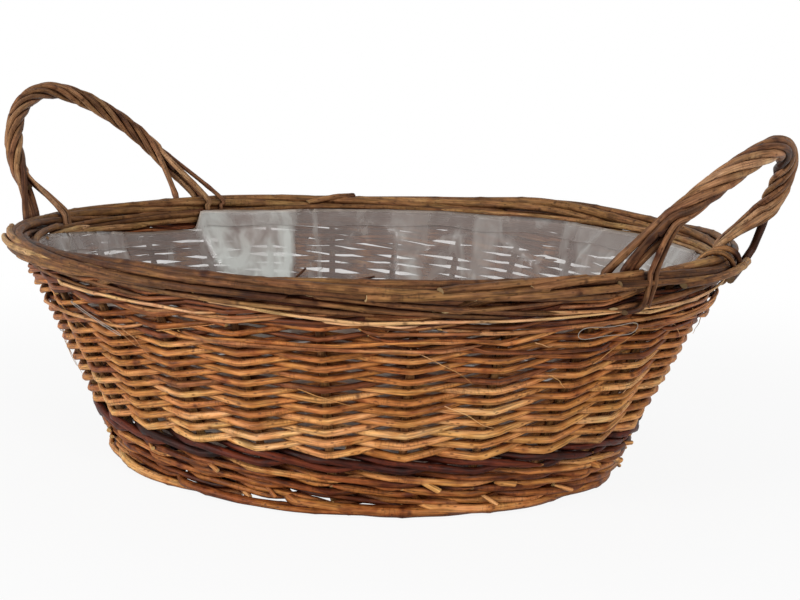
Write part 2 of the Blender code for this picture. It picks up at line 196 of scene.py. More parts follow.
def carried_frame(points):
    """A side and an up direction at each point, turned as little as possible on the way."""
    ahead = unit(np.gradient(points, axis=0))
    side = np.cross(ahead[0], (0.0, 0.0, 1.0))
    if np.linalg.norm(side) < 0.1:
        side = np.array([1.0, 0.0, 0.0])
    sides = []
    for direction in ahead:
        side = side - direction * np.dot(side, direction)
        side = side / np.linalg.norm(side)
        sides.append(side)
    sides = np.array(sides)
    return sides, np.cross(ahead, sides)


# %% Chance that stays the same each run
def new_seed():
    return int(dice.integers(1, 10 ** 6))


def smooth_noise(count, spacing, seed):
    """Values from -1 to 1 that change slowly along a line of points."""
    own = np.random.default_rng(seed)
    knots = own.uniform(-1.0, 1.0, int(count / spacing) + 4)
    place = np.arange(count) / spacing + own.uniform(0.0, 1.0)
    left = place.astype(int)
    part = eased(place - left)
    return knots[left] * (1.0 - part) + knots[left + 1] * part


# %% Objects in the scene, and marks on their vertices
def put(name, data):
    """An object in the scene that shows this mesh, lamp or camera."""
    made = bpy.data.objects.new(name, data)
    bpy.context.scene.collection.objects.link(made)
    return made


def mark(mesh, label, values):
    """Stores a number or a vector for each vertex, for a material to read."""
    values = np.asarray(values, dtype=np.float32)
    kind, field = ("FLOAT", "value") if values.ndim == 1 else ("FLOAT_VECTOR", "vector")
    mesh.attributes.new(label, kind, "POINT").data.foreach_set(field, values.ravel())


# %% How thick a rod is, along it and round it
# Buds stand 24 to 58 mm apart along a shoot. They swell it by a sixth and are darker than it
BUD_GAP = (24.0 * MM, 58.0 * MM)
BUD_HALF_LENGTH = 2.3 * MM
BUD_SWELLING = 0.16
BUD_DARKNESS = 0.34
# How uneven a rod is along its length, and how oval and how three-sided its section is
UNEVEN = 0.06
OVAL_SHARE = 0.045
THREE_SIDED_SHARE = 0.03
# How thick a rod that thins out is at its very end
THINNED_SHARE = 0.35


def budded(along, radius, own, seed):
    """The radius along a rod with its buds, and how much darker they make the bark."""
    radius = radius * (1.0 + UNEVEN * smooth_noise(len(along), 4.0, seed + 1))
    darker = np.zeros(len(along))
    place = own.uniform(0.0, 20.0 * MM)
    while place < along[-1]:
        bud = np.exp(-(((along - place) / BUD_HALF_LENGTH) ** 2))
        radius = radius * (1.0 + BUD_SWELLING * bud)
        darker = darker + bud * own.uniform(0.0, BUD_DARKNESS)
        place += own.uniform(*BUD_GAP)
    return radius, darker


def section(angle, own):
    """How far the bark is from the middle at each angle: a little oval and three-sided."""
    oval_phase, three_phase = own.uniform(0.0, math.tau, 2)
    shape = 1.0 + OVAL_SHARE * np.cos(2 * angle + oval_phase)
    return shape + THREE_SIDED_SHARE * np.cos(3 * angle + three_phase)


# %% A bundle of rods that becomes one piece
class Rods:
    """Collects tubes, with the attributes that the bark reads, into one mesh."""

    def __init__(self):
        self.spots, self.faces, self.flat = [], [], []
        self.grain, self.tone, self.cut = [], [], []
        self.made = 0

    def store(self, spots, grain, tone, cut):
        """Keeps some vertices with their marks, and gives the number of the first."""
        start = sum(len(kept) for kept in self.spots)
        self.spots.append(spots)
        self.grain.append(grain)
        self.tone.append(tone)
        self.cut.append(np.full(len(spots), cut))
        return start

    def add(self, points, butt, tip, tone, sides=9, buds=True, slant=0.0, point=0.0, slim=1.0):
        """One rod from its butt radius to its tip radius, its ends cut off at a slant.

        The tone is one value, or several that follow one another at even steps. Over the
        length `point` both ends thin out, and `slim` scales the radius at every point.
        """
        points = np.asarray(points, dtype=float)
        count = len(points)
        along = run_along(points)
        radius = np.interp(along, [0.0, along[-1]], [butt, tip]) * slim
        if point:
            to_end = np.minimum(along, along[-1] - along)
            radius = radius * np.interp(to_end, [0.0, point], [THINNED_SHARE, 1.0])
        seed = new_seed()
        own = np.random.default_rng(seed)
        darker = 0.0
        if buds:
            radius, darker = budded(along, radius, own, seed)
        angle = math.tau * np.arange(sides) / sides
        reach = radius[:, None] * section(angle, own)
        over, up = np.cos(angle) * reach, np.sin(angle) * reach
        side_way, up_way = carried_frame(points)
        rings = points[:, None, :] + side_way[:, None, :] * over[..., None]
        rings = rings + up_way[:, None, :] * up[..., None]
        ahead = unit(np.gradient(points, axis=0))
        if slant:
            rings[0] += ahead[0] * (np.cos(angle) * slant * butt)[:, None]
            rings[-1] += ahead[-1] * (np.cos(angle + 1.0) * slant * tip)[:, None]
        # Each rod reads another part of the bark's pattern
        grain = np.stack(np.broadcast_arrays(over, up, along[:, None]), axis=-1) + own.uniform(-4.0, 4.0, 3)
        tone = np.atleast_1d(tone)
        tones = np.interp(along, np.linspace(0.0, along[-1], len(tone)), tone) - darker
        start = self.store(rings.reshape(-1, 3), grain.reshape(-1, 3), np.repeat(tones, sides), 0.0)
        ring = np.arange(sides)
        after = (ring + 1) % sides
        for low in start + sides * np.arange(count - 1):
            high = low + sides
            self.faces.extend(np.stack([low + ring, low + after, high + after, high + ring], axis=1).tolist())
        self.flat.extend([False] * ((count - 1) * sides))
        # The cut ends have vertices of their own, so that each cut keeps a crisp edge
        for place, order in ((0, -1), (-1, 1)):
            start = self.store(rings[place].copy(), grain[place], np.full(sides, tones[place]), 1.0)
            self.faces.append([start + k for k in range(sides)][::order])
            self.flat.append(True)
        self.made += 1

    def piece(self, name, bark, slot, *nodes):
        """Turns the bundle into one object that stands for the named nodes."""
        mesh = bpy.data.meshes.new(name)
        mesh.from_pydata(np.concatenate(self.spots).tolist(), [], self.faces)
        for label, values in (("grain", self.grain), ("tone", self.tone), ("cut", self.cut)):
            mark(mesh, label, np.concatenate(values))
        mesh.polygons.foreach_set("use_smooth", [not flat for flat in self.flat])
        mesh.materials.append(bark)
        made = put(name, mesh)
        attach(made, "root")
        if nodes:
            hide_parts(*nodes)
        print(name, self.made, "rods,", len(self.faces), "faces")


# %% [markdown]
# ## Bark
#
# Each willow has its own bark. Tan and golden rods carry the wall, red-brown ones are mixed
# in, olive-grey shoots make the border, greyer ones with a painted sheen the handles, and dark
# purple ones the waling at the foot. They share one way of growing: fine streaks along the
# rod, a slow drift of colour over a hand's breadth, small lenticels, and a leaf scar every few
# centimetres. All of them also get painted shade where rods touch. So one function draws the
# bark, and each willow is a palette given to it. All patterns are laid out in the rod's own
# `grain` coordinate, so they bend with the rod.


# %% Colours, materials and nodes
def linear(code):
    """A colour written as sRGB hex, as Blender's linear red, green, blue and alpha."""
    parts = [int(code[k:k + 2], 16) / 255 for k in (1, 3, 5)]
    return (*[p / 12.92 if p <= 0.04045 else ((p + 0.055) / 1.055) ** 2.4 for p in parts], 1.0)


def new_material(name):
    material = bpy.data.materials.new(name)
    material.use_nodes = True
    return material, material.node_tree, material.node_tree.nodes["Principled BSDF"]


def add(tree, kind, inputs=None, **settings):
    """Adds a shader node, sets it up, and gives its inputs a value or a link.

    An input may be a socket, or a node, which stands for its first output that is in use.
    """
    made = tree.nodes.new("ShaderNode" + kind)
    for key, value in settings.items():
        setattr(made, key, value)
    for key, value in (inputs or {}).items():
        if isinstance(value, bpy.types.Node):
            value = next(out for out in value.outputs if out.enabled)
        if isinstance(value, bpy.types.NodeSocket):
            tree.links.new(value, made.inputs[key])
        else:
            made.inputs[key].default_value = value
    return made


# Settings of a Mix node that blends two colours, or multiplies them
BLEND = {"data_type": "RGBA"}
MULTIPLY = {"data_type": "RGBA", "blend_type": "MULTIPLY"}
WHITE = (1.0, 1.0, 1.0, 1.0)
print("golden tan as linear colour", [round(part, 3) for part in linear("#AD703D")])

# %% Bark of an unpeeled willow rod
PER_MM = 1000.0
# How wide across the rod and how long along it each pattern's cells are, in mm, and its detail
BARK_PATTERNS = {"streak": (0.8, 16.0, 4.0), "ladder": (5.0, 0.8, 2.0), "patch": (9.0, 26.0, 2.0),
                 "drift": (30.0, 85.0, 2.0), "mottle": (2.6, 7.0, 4.0), "hue": (12.0, 26.0, 2.0)}
SCAR_CELL = (8.0, 8.0, 30.0)


def willow_bark(name, palette, scar, wood, roughness, painted_shade_colour="#6B3E24",
                tints=((0.97, 1.02, 0.86, 1.0), (1.03, 0.96, 1.0, 1.0)), stops=(0.0, 0.3, 0.55, 0.8, 1.0)):
    """Dried willow bark: satin, streaked along the rod, with lenticels and leaf scars."""
    material, tree, shader = new_material(name)
    # The corky outer skin scatters most of what a smooth surface would mirror
    shader.inputs["Specular IOR Level"].default_value = 0.12
    grain = add(tree, "Attribute", attribute_name="grain").outputs["Vector"]
    tone = add(tree, "Attribute", attribute_name="tone").outputs["Fac"]
    cut = add(tree, "Attribute", attribute_name="cut").outputs["Fac"]

    def stretched(across_mm, along_mm):
        scale = (PER_MM / across_mm, PER_MM / across_mm, PER_MM / along_mm)
        return add(tree, "VectorMath", {0: grain, 1: scale}, operation="MULTIPLY")

    noise = {}
    for label, (across, along, detail) in BARK_PATTERNS.items():
        place = stretched(across, along)
        noise[label] = add(tree, "TexNoise", {"Vector": place, "Scale": 1.0, "Detail": detail})

    # The rod's own tone, moved by the slow drift and by mottling
    place = add(tree, "Math", {0: noise["drift"], 1: 0.85, 2: tone}, operation="MULTIPLY_ADD")
    place = add(tree, "Math", {0: noise["mottle"], 1: 0.72, 2: place}, operation="MULTIPLY_ADD")
    place = add(tree, "Math", {0: place, 1: 0.785}, operation="SUBTRACT")
    bark = add(tree, "ValToRGB", {0: place})
    marks = bark.color_ramp.elements
    while len(marks) < len(palette.split()):
        marks.new(1.0)
    for stop, position, code in zip(marks, stops, palette.split()):
        stop.position = position
        stop.color = linear(code)

    # Along one rod the bark turns from a yellow olive to a pinkish brown and back
    hue = add(tree, "MapRange", {0: noise["hue"], 1: 0.36, 2: 0.64})
    tint = add(tree, "Mix", {0: hue, 6: tints[0], 7: tints[1]}, **BLEND)
    bark = add(tree, "Mix", {0: 1.0, 6: bark, 7: tint}, **MULTIPLY)

    # Drying wrinkles the bark: dark streaks run along it, and short marks run across it in places
    shade = add(tree, "MapRange", {0: noise["streak"], 1: 0.34, 2: 0.60, 3: 0.44, 4: 1.14})
    rungs = add(tree, "MapRange", {0: noise["ladder"], 1: 0.38, 2: 0.46, 3: 0.68, 4: 1.0})
    where = add(tree, "MapRange", {0: noise["patch"], 1: 0.52, 2: 0.60})
    rungs = add(tree, "Mix", {0: where, 2: 1.0, 3: rungs})
    shade = add(tree, "Math", {0: shade, 1: rungs}, operation="MULTIPLY")
    bark = add(tree, "Mix", {0: 1.0, 6: bark, 7: shade}, **MULTIPLY)

    # Lenticels are pin-head dots, drawn 0.8 mm across so that they show
    dots = add(tree, "TexVoronoi", {"Vector": stretched(2.4, 5.0), "Scale": 1.0})
    dotted = add(tree, "MapRange", {0: dots.outputs["Distance"], 1: 0.13, 2: 0.26, 3: 0.65, 4: 0.0})
    bark = add(tree, "Mix", {0: dotted, 6: bark, 7: linear(scar)}, **BLEND)

    # Leaf scars are dark spots of 2 to 3 mm, one every few centimetres
    cells = stretched(SCAR_CELL[0], SCAR_CELL[2])
    scars = add(tree, "TexVoronoi", {"Vector": cells, "Scale": 1.0})
    away = add(tree, "VectorMath", {0: cells, 1: scars.outputs["Position"]}, operation="SUBTRACT")
    away = add(tree, "VectorMath", {0: away, 1: SCAR_CELL}, operation="MULTIPLY")
    gap = add(tree, "VectorMath", {0: away}, operation="LENGTH")
    scarred = add(tree, "MapRange", {0: gap, 1: 0.6, 2: 1.9, 3: 0.80, 4: 0.0})
    bark = add(tree, "Mix", {0: scarred, 6: bark, 7: linear(scar)}, **BLEND)

    # Painted shade darkens the colour where rods touch, tinted red-brown as if by light bounced between them
    shade = add(tree, "AmbientOcclusion", {"Distance": 7.0 * MM}, samples=6)
    shade = add(tree, "MapRange", {0: shade.outputs["AO"], 1: 0.20, 2: 0.86})
    shade = add(tree, "Mix", {0: shade, 6: linear(painted_shade_colour), 7: WHITE}, **BLEND)
    bark = add(tree, "Mix", {0: 1.0, 6: bark, 7: shade}, **MULTIPLY)

    # A cut end shows pale wood, or weathered wood on the darkest rods
    weather = add(tree, "MapRange", {0: tone, 1: 0.0, 2: 0.6, 3: 0.18, 4: 1.0})
    wood = add(tree, "Mix", {0: weather, 6: linear(scar), 7: linear(wood)}, **BLEND)
    whole = add(tree, "Mix", {0: cut, 6: bark, 7: wood}, **BLEND)
    tree.links.new(whole.outputs[2], shader.inputs["Base Color"])
    rough = add(tree, "MapRange",
                {0: noise["mottle"], 1: 0.3, 2: 0.7, 3: roughness - 0.08, 4: roughness + 0.10})
    tree.links.new(rough.outputs[0], shader.inputs["Roughness"])
    relief = add(tree, "Math", {0: dotted, 1: -0.6, 2: noise["streak"]}, operation="MULTIPLY_ADD")
    bump = add(tree, "Bump", {"Strength": 0.65, "Distance": 0.35 * MM, "Height": relief})
    tree.links.new(bump.outputs[0], shader.inputs["Normal"])
    return material


# %% The barks of the wall
# Golden tan bark has dried on the rod: warm, with a soft shine on its top side
tan_bark = willow_bark("dried_golden_willow_bark", "#4A200C #844A24 #AD703D #C9905A #D8AB7A",
                       "#43200F", "#C9A26B", 0.50, stops=(0.0, 0.25, 0.5, 0.75, 1.0))
# Red-brown bark comes from younger shoots: the same shine, a deeper colour
red_bark = willow_bark("dried_red_willow_bark", "#3E1B0D #6E3C22 #925B37 #AE7B52 #C69B70",
                       "#3A190B", "#BE9158", 0.50)
# Purple-brown bark of the dark waling looks almost black in its folds
dark_bark = willow_bark("dried_purple_willow_bark", "#170603 #301008 #4E1E10 #6A321D #844E32",
                        "#170906", "#8F6238", 0.50)
print("barks of the wall", tan_bark.name, red_bark.name, dark_bark.name)

# %% The barks of the stakes, the border and the handles
# Olive-brown bark is older and drier: it looks matt and a little dusty
olive_bark = willow_bark("weathered_olive_willow_bark", "#361B0D #614026 #855E3B #A07B52 #BC9870",
                         "#321A0D", "#A58A62", 0.56, tints=((0.98, 1.0, 0.86, 1.0), (1.05, 0.97, 1.0, 1.0)))
# The handles' bark is rubbed smooth by hands. Its olive brown is made greyer as a painted sheen of the pale
# room
handle_bark = willow_bark("handle_willow_bark_with_painted_sheen", "#361D11 #63412B #876041 #A47F5D #BC9B7A",
                          "#321A0D", "#A58A62", 0.50, tints=((0.98, 1.0, 0.91, 1.0), (1.05, 0.97, 0.98, 1.0)))
# A stake is the same olive willow. Its painted shade is paler, as painted light from the film behind it
stake_bark = willow_bark("weathered_stake_willow_bark", "#3A2010 #664429 #87623E #A07D54 #B99871",
                         "#321A0D", "#B98F57", 0.56, painted_shade_colour="#A58A74")
print("other barks", olive_bark.name, handle_bark.name, stake_bark.name)

# %% [markdown]
# ## Stakes
#
# The stakes are the upright rods that everything is woven on. They show only as short bits
# between the woven rods. Each follows its CAD node: from the foot border, round the waist,
# up to the border. The rods push it in and out a little, so it isn't dead straight.

# %% Stakes
STAKE_RADIUS = 2.3 * MM
STAKE_WANDER = 0.5 * MM


def stake_line(turn):
    low = oval(wall_inset(np.array(FOOT_TOP)), np.array(FOOT_TOP + 0.6 * MM), np.array(turn))
    waist = oval(WAIST_INSET, np.array(WAIST_HEIGHT), np.array(turn))
    top_height = np.array(BORDER_HEIGHT - 1.5 * MM)
    top = oval(wall_inset(top_height), top_height, np.array(turn))
    share = np.linspace(0.0, 1.0, 24)[:, None]
    line = np.concatenate([low + (waist - low) * share, (waist + (top - waist) * share)[1:]])
    return spread_evenly(softened(line, 3), 3.5 * MM)


for name, turn in zip(STAKES, TURNS):
    rods = Rods()
    line = stake_line(turn)
    wander = smooth_noise(len(line), 9.0, int(dice.integers(1, 9999)))[:, None]
    line = line + np.cross(outward(np.array(turn)), (0, 0, 1)) * wander * STAKE_WANDER
    rods.add(line, STAKE_RADIUS * 1.05, STAKE_RADIUS * 0.9, (dice.uniform(0.6, 1.0), 0.2), sides=8)
    rods.piece(name + "_rod", stake_bark, "willow_brown", name)

# %% [markdown]
# ## The wall: a French rand
#
# In the photograph the rods step up to the right: in front of one stake, behind the next,
# and each a rod's thickness higher. That is a French rand. It starts with one rod beside
# every stake, and all of them are woven together, stroke by stroke, so the thick butts lie
# at the bottom and the thin tips at the top. So the wall here is 26 rods, one from each
# stake. Drawing level rings would be simpler, but the V shapes that the photograph shows
# at the stakes come only from this climb.

# %% How a rod of the rand climbs
# The dark waling has ridden up a little above where the CAD model has it
SIDE_LOW = corners("dark_foot_waling")[1][2] + 5.0 * MM
SIDE_HIGH = corners("top_waling")[0][2] + 1.5 * MM
STROKES = 25
STROKE_BUTT = 3.54 * MM
STROKE_TIP = 2.57 * MM
RAND_BUTT = 2.32 * MM
RAND_TIP = 1.50 * MM
RAND_OUT = 4.45 * MM
# The rods are beaten down in front of the stakes, which makes the V shapes
RAND_LIFT = -0.8 * MM
# Between a smooth wave and a pointed one: a stiff rod runs almost straight between two stakes
SMOOTH_SHARE = 0.08
# Points along a rod from one stake to the next
STATIONS = 10
# How many of the rods in the wall are red-brown ones
RED_SHARE = 0.12
climb_scale = (SIDE_HIGH - SIDE_LOW) / (STROKES * (STROKE_BUTT + STROKE_TIP) / 2)


def weave_wave(step):
    """1 in front of a stake, -1 behind the next."""
    fold = np.abs((step + 1.0) % 2.0 - 1.0)
    return SMOOTH_SHARE * np.cos(math.pi * step) + (1.0 - SMOOTH_SHARE) * (1.0 - 2.0 * fold)


def rand_height(step):
    """The height of a stroke: the strokes below it get thinner towards the tips."""
    step = np.clip(step, 0.0, STROKES)
    thinning = (STROKE_BUTT - STROKE_TIP) / STROKES / 2
    return SIDE_LOW + STROKE_BUTT / 2 + (STROKE_BUTT * step - thinning * step * step) * climb_scale


print("wall from", SIDE_LOW, "to", SIDE_HIGH)

# %% Rods of the French rand
tan_rods = Rods()
red_rods = Rods()
for stake in range(COUNT):
    first = -0.72 + dice.uniform(-0.1, 0.1)
    last = STROKES - 0.4 + dice.uniform(-1.2, 0.9)
    steps = np.linspace(first, last, int((last - first) * STATIONS) + 1)
    seed = new_seed()
    # The rods lie looser towards the top, and at the back they are thicker and less even
    loose = np.interp(steps, [0.0, 17.0, 21.0, STROKES], [0.30, 0.45, 0.95, 1.40])
    back = np.clip(np.sin(turn_at(stake + steps)) * 2.0, 0.0, 1.0)
    loose = loose * (1.0 + back)
    height = rand_height(steps) + smooth_noise(len(steps), STATIONS * 1.3, seed) * loose * MM
    out = RAND_OUT * weave_wave(steps) * np.interp(steps, [0, STROKES], [1.0, 0.93])
    out = out + smooth_noise(len(steps), STATIONS * 0.9, seed + 1) * 0.25 * MM
    line = wall(turn_at(stake + steps), height, out, RAND_LIFT * weave_wave(steps))
    size = dice.uniform(0.87, 1.10)
    bundle = red_rods if dice.uniform() < RED_SHARE else tan_rods
    tone = dice.uniform(0.52, 0.84)
    bundle.add(line, RAND_BUTT * size, RAND_TIP * size, (tone, tone - 0.30),
               slant=0.5, slim=1.0 + 0.06 * back)
print("rods in the rand:", tan_rods.made, "tan,", red_rods.made, "red-brown")

# %% Short ends and torn fibres in the wall
# Near the border the thin tips run out, so short ends are pushed in where there is room
for _ in range(34):
    span = dice.uniform(1.2, 4.2)
    steps = np.linspace(0.0, span, int(span * 9) + 2)
    seed = new_seed()
    start = dice.uniform(0.0, COUNT)
    level = SIDE_HIGH + dice.uniform(-11.0, 2.0) * MM
    height = level + steps * dice.uniform(-1.4, 1.8) * MM + smooth_noise(len(steps), 7.0, seed) * 1.3 * MM
    height = np.minimum(height, SIDE_HIGH + 3.5 * MM)
    out = np.interp(steps / span, [0.0, 0.12, 0.88, 1.0], [1.5, 6.2, 6.2, 1.8]) * MM
    out = out + smooth_noise(len(steps), 8.0, seed + 1) * 0.8 * MM
    bundle = red_rods if dice.uniform() < 0.55 else tan_rods
    radius = dice.uniform(0.9, 1.5) * MM
    bundle.add(wall(turn_at(start + steps), height, out), radius, radius * 0.7, dice.uniform(0.2, 0.8),
               sides=7, slant=1.2, point=6.0 * MM)

# Torn fibres of bark, half a millimetre thick at most, lie across the rows
for _ in range(44):
    length = dice.uniform(10.0, 38.0) * MM
    share = np.linspace(0.0, 1.0, 14)
    seed = new_seed()
    start = dice.uniform(0.0, math.tau)
    level = dice.uniform(0.35, 1.0) ** 0.6 * SIDE_HIGH
    slope = dice.uniform(-0.9, 0.9)
    height = level + (share - 0.5) * length * slope + smooth_noise(14, 5.0, seed) * 1.5 * MM
    height = np.clip(height, SIDE_LOW, SIDE_HIGH + 6.0 * MM)
    out = 5.9 * MM + smooth_noise(14, 4.0, seed + 1) * 0.4 * MM
    line = wall(start + share * length / HALF_WIDTH, height, out)
    tan_rods.add(line, 0.24 * MM, 0.12 * MM, dice.uniform(0.7, 1.0), sides=4, buds=False)

BANDS = [f"side_weave_{band:02d}" for band in range(1, 11)]
tan_rods.piece("side_weave_tan_rods", tan_bark, "willow_tan", *[b for k, b in enumerate(BANDS) if k % 3 != 2])
red_rods.piece("side_weave_red_rods", red_bark, "willow_brown", *BANDS[2::3])

# %% [markdown]
# ## Waling
#
# Waling is woven with three rods at a time. Each passes in front of two stakes and behind
# the third, over the other two, which makes a strong rope-like band. The maker puts it where
# the basket is stressed: as the upsett where the stakes turn up, here with a dark band on
# it. A rod is the upper strand at its first stake and the lower one at its second. Under the
# border this basket has no neat wale but many thin tips woven in single strokes.


# %% A round of three-rod wale
# Where a rod passes its first, second and third stake, and the next first one: in front of
# it or behind it, and above or below the middle of the round
WALE_SIDES = np.array([1.0, 1.0, -1.0, 1.0])
WALE_LEVELS = np.array([0.5, -0.5, 0.0, 0.5])
WALE_STATIONS = 9
MESS = 0.8 * MM


def wale(bundle, low, high, radius, rounds, start, tones):
    """Three rods woven as a wale between two heights, in so many rounds."""
    rise = (high - low) / rounds
    for rod in range(3):
        steps = np.arange(0.0, COUNT * rounds + 0.01, 1.0 / WALE_STATIONS)
        phase = steps % 3.0
        part = phase % 1.0
        left = np.floor(phase).astype(int)
        side = WALE_SIDES[left] * (1.0 - eased(part)) + WALE_SIDES[left + 1] * eased(part)
        level = WALE_LEVELS[left] * (1.0 - part) + WALE_LEVELS[left + 1] * part
        # At the end of a round the rod steps up to the next one
        lap = np.floor(steps / COUNT)
        within = steps - lap * COUNT
        lap = np.minimum(lap + np.clip((within - (COUNT - 2.0)) / 2.0, 0.0, 1.0), rounds - 1)
        seed = new_seed()
        height = low + rise * (lap + 0.5) + level * rise / 2 + smooth_noise(len(steps), 12.0, seed) * MESS
        out = STAKE_RADIUS + radius + smooth_noise(len(steps), 14.0, seed + 2) * MESS * 0.6
        line = wall(turn_at(start + rod + steps), height, out * side)
        # A rod is about three quarters of a metre long, so each strand is pieced
        pieces = np.linspace(0, len(line) - 1, 2 * rounds + 1).astype(int)
        for head, tail in zip(pieces, pieces[1:]):
            size = dice.uniform(0.9, 1.1)
            bundle.add(line[head:tail + 1], radius * size * 1.08, radius * size * 0.86,
                       dice.uniform(*tones), slant=0.8, point=9.0 * MM)


# %% Upsett and dark band
UPSETT_LOW = corners("upsett_waling")[0][2]
DARK_LOW = corners("dark_foot_waling")[0][2]
upsett = Rods()
wale(upsett, UPSETT_LOW - 0.6 * MM, DARK_LOW + 7.0 * MM, 2.0 * MM, 3, 8, (0.05, 0.62))
for height in (UPSETT_LOW + 3.5 * MM, DARK_LOW - 1.8 * MM):
    # A rod packed inside the stakes closes the corner between the wall and the base
    steps = np.arange(0.0, COUNT + 0.5, 0.2)
    line = wall(turn_at(steps + dice.uniform(0.0, 20.0)), height, -6.3 * MM)
    upsett.add(line, 2.3 * MM, 2.1 * MM, 0.1)
# Where a new rod was laid in, its butt sticks out of the waling as a short pale cut
for _ in range(34):
    share = np.linspace(0.0, 1.0, 7)
    turn = dice.uniform(0.0, math.tau) + share * dice.uniform(9.0, 16.0) * MM / HALF_WIDTH
    height = dice.uniform(UPSETT_LOW + 1.0 * MM, DARK_LOW + 6.0 * MM) + share * dice.uniform(-5.0, 2.0) * MM
    radius = dice.uniform(1.2, 1.9) * MM
    line = wall(turn, height, (2.5 + 5.5 * share) * MM)
    upsett.add(line, radius, radius, dice.uniform(0.4, 0.9), sides=8, slant=0.4)
upsett.piece("upsett_waling_rods", tan_bark, "willow_olive", "upsett_waling")

dark = Rods()
wale(dark, DARK_LOW + 7.0 * MM, SIDE_LOW + 1.2 * MM, 2.2 * MM, 1, 11, (0.15, 0.70))
dark.piece("dark_foot_waling_rods", dark_bark, "willow_dark", "dark_foot_waling")

# %% Thin tips under the border
TOP_LOW, TOP_HIGH = (corner[2] for corner in corners("top_waling"))
TOP_STROKES = 6
TOP_CLIMB = (TOP_HIGH + 0.8 * MM - TOP_LOW) / TOP_STROKES
top = Rods()
for half in range(2 * COUNT):
    # Two rods start at each stake here, one in front of it and one behind it
    last = TOP_STROKES + dice.uniform(-0.9, 1.2)
    steps = np.linspace(-0.5, last, int((last + 0.5) * STATIONS) + 1)
    seed = new_seed()
    height = TOP_LOW + TOP_CLIMB * (steps + 0.2) + smooth_noise(len(steps), 11.0, seed) * 1.1 * MM
    height = np.minimum(height, TOP_HIGH + 1.2 * MM)
    out = 3.7 * MM * weave_wave(steps + STROKES + half % 2 / 2) + 0.4 * MM
    out = out + smooth_noise(len(steps), 9.0, seed + 1) * 0.7 * MM
    radius = dice.uniform(1.2, 1.65) * MM
    tone = dice.uniform(0.0, 0.75)
    top.add(wall(turn_at(half / 2 + steps), height, out), radius, radius * 0.75,
            (tone, dice.uniform(0.1, 0.8)), sides=8, slant=1.0, point=5.0 * MM)
# Long pale tips lie over them: first and last stake, and each end's share of the band's height
LONG_TIPS = [(19.6, 22.1, 0.9, 0.25), (20.9, 24.6, 0.35, 0.62), (22.6, 25.9, 0.80, 0.45),
             (24.4, 26.8, 0.3, 0.85), (17.2, 19.9, 0.7, 0.35), (4.2, 7.5, 0.5, 0.8),
             (8.6, 11.4, 0.7, 0.3), (12.1, 15.2, 0.4, 0.7)]
for head, tail, high, low in LONG_TIPS:
    seed = new_seed()
    share = np.linspace(0.0, 1.0, 40)
    height = TOP_LOW + (TOP_HIGH - TOP_LOW) * (high + (low - high) * share)
    height = height + smooth_noise(40, 9.0, seed) * 0.8 * MM
    out = np.interp(share, [0.0, 0.1, 0.9, 1.0], [2.0, 6.1, 6.1, 2.5]) * MM
    top.add(wall(turn_at(np.linspace(head, tail, 40)), height, out), 1.1 * MM, 0.75 * MM,
            dice.uniform(0.8, 1.05), sides=7, slant=1.5, point=5.0 * MM)
top.piece("top_waling_rods", red_bark, "willow_olive", "top_waling")

# %% [markdown]
# ## Border
#
# At the rim every stake is bent over to the right and rolled into the bundle with its
# neighbours, so at any place four or five rods lie round one another. Each starts under the
# border, goes up the inner side, over the top and down the outer side, and ends in a cut.
# One formula gives the roll of a rod, and the neighbours do the rest. What makes it look
# handmade is what doesn't fit: rods that stop short, thin tips that leave the bundle, and
# butts laid on top. Those that stand out in the photograph are placed one by one.

# %% Rods of the rolled border
BORDER_ROD = 2.55 * MM
BORDER_SPREAD = BORDER_RADIUS - BORDER_ROD + 0.7 * MM
# A rod runs past nine stakes. It starts low on the inner side and rolls over nearly a full turn
BORDER_SPAN = 9.0
BORDER_ROLL, BORDER_ROLL_SWEEP = 248.0, 318.0
# The rim stands a little higher at the middle of the back
SWELL = 4.5 * MM
SWELL_TURN, SWELL_WIDTH = math.radians(85.0), math.radians(14.0)


def on_border(turn, roll, spread, raised=0.0):
    """Points round the border's centre line: a roll of 0 is outside, a quarter turn on top."""
    line = oval(0.0, BORDER_HEIGHT + raised, turn) + outward(turn) * (np.cos(roll) * spread)[:, None]
    line[:, 2] += np.sin(roll) * spread
    return line


border = [Rods() for _ in range(3)]
for rod in range(COUNT // 2):
    span = BORDER_SPAN + dice.uniform(-1.2, 1.6)
    share = np.linspace(0.0, 1.0, 110)
    turn = turn_at(2 * rod + dice.uniform(-0.4, 0.4) + span * share)
    roll = np.radians(BORDER_ROLL - BORDER_ROLL_SWEEP * share ** 0.9 + dice.uniform(-14.0, 14.0))
    seed = new_seed()
    spread = BORDER_SPREAD * (1.0 + 0.13 * smooth_noise(len(share), 16.0, seed))
    # The cut ends stand off the bundle a little
    spread = spread + np.interp(share, [0.0, 0.93, 1.0], [0.0, 0.0, dice.uniform(0.3, 1.8) * MM])
    swell = SWELL * np.exp(-((np.abs(turn % math.tau - SWELL_TURN) / SWELL_WIDTH) ** 2))
    line = on_border(turn, roll, spread, swell + 0.8 * MM * smooth_noise(len(share), 30.0, seed + 3))
    # The stake comes up from the wall and bends into the bundle
    ease = eased(np.clip(share / 0.07, 0.0, 1.0))[:, None]
    stem = wall(turn, np.full(len(share), BORDER_HEIGHT - 11.0 * MM), 0.0)
    line = stem * (1.0 - ease) + line * ease
    size = dice.uniform(0.86, 1.12)
    # Painted light: the rods at the back of the border are given a lighter tone than those at the front
    painted_back_light = 0.18 * math.sin(turn[len(turn) // 2])
    border[rod % 3].add(line, BORDER_ROD * size * 1.10, BORDER_ROD * size * 0.80,
                        (dice.uniform(0.22, 0.78) + painted_back_light, dice.uniform(0.1, 0.6) + painted_back_light),
                        sides=10, slant=1.5)
print("rods rolled into the border:", [bundle.made for bundle in border])

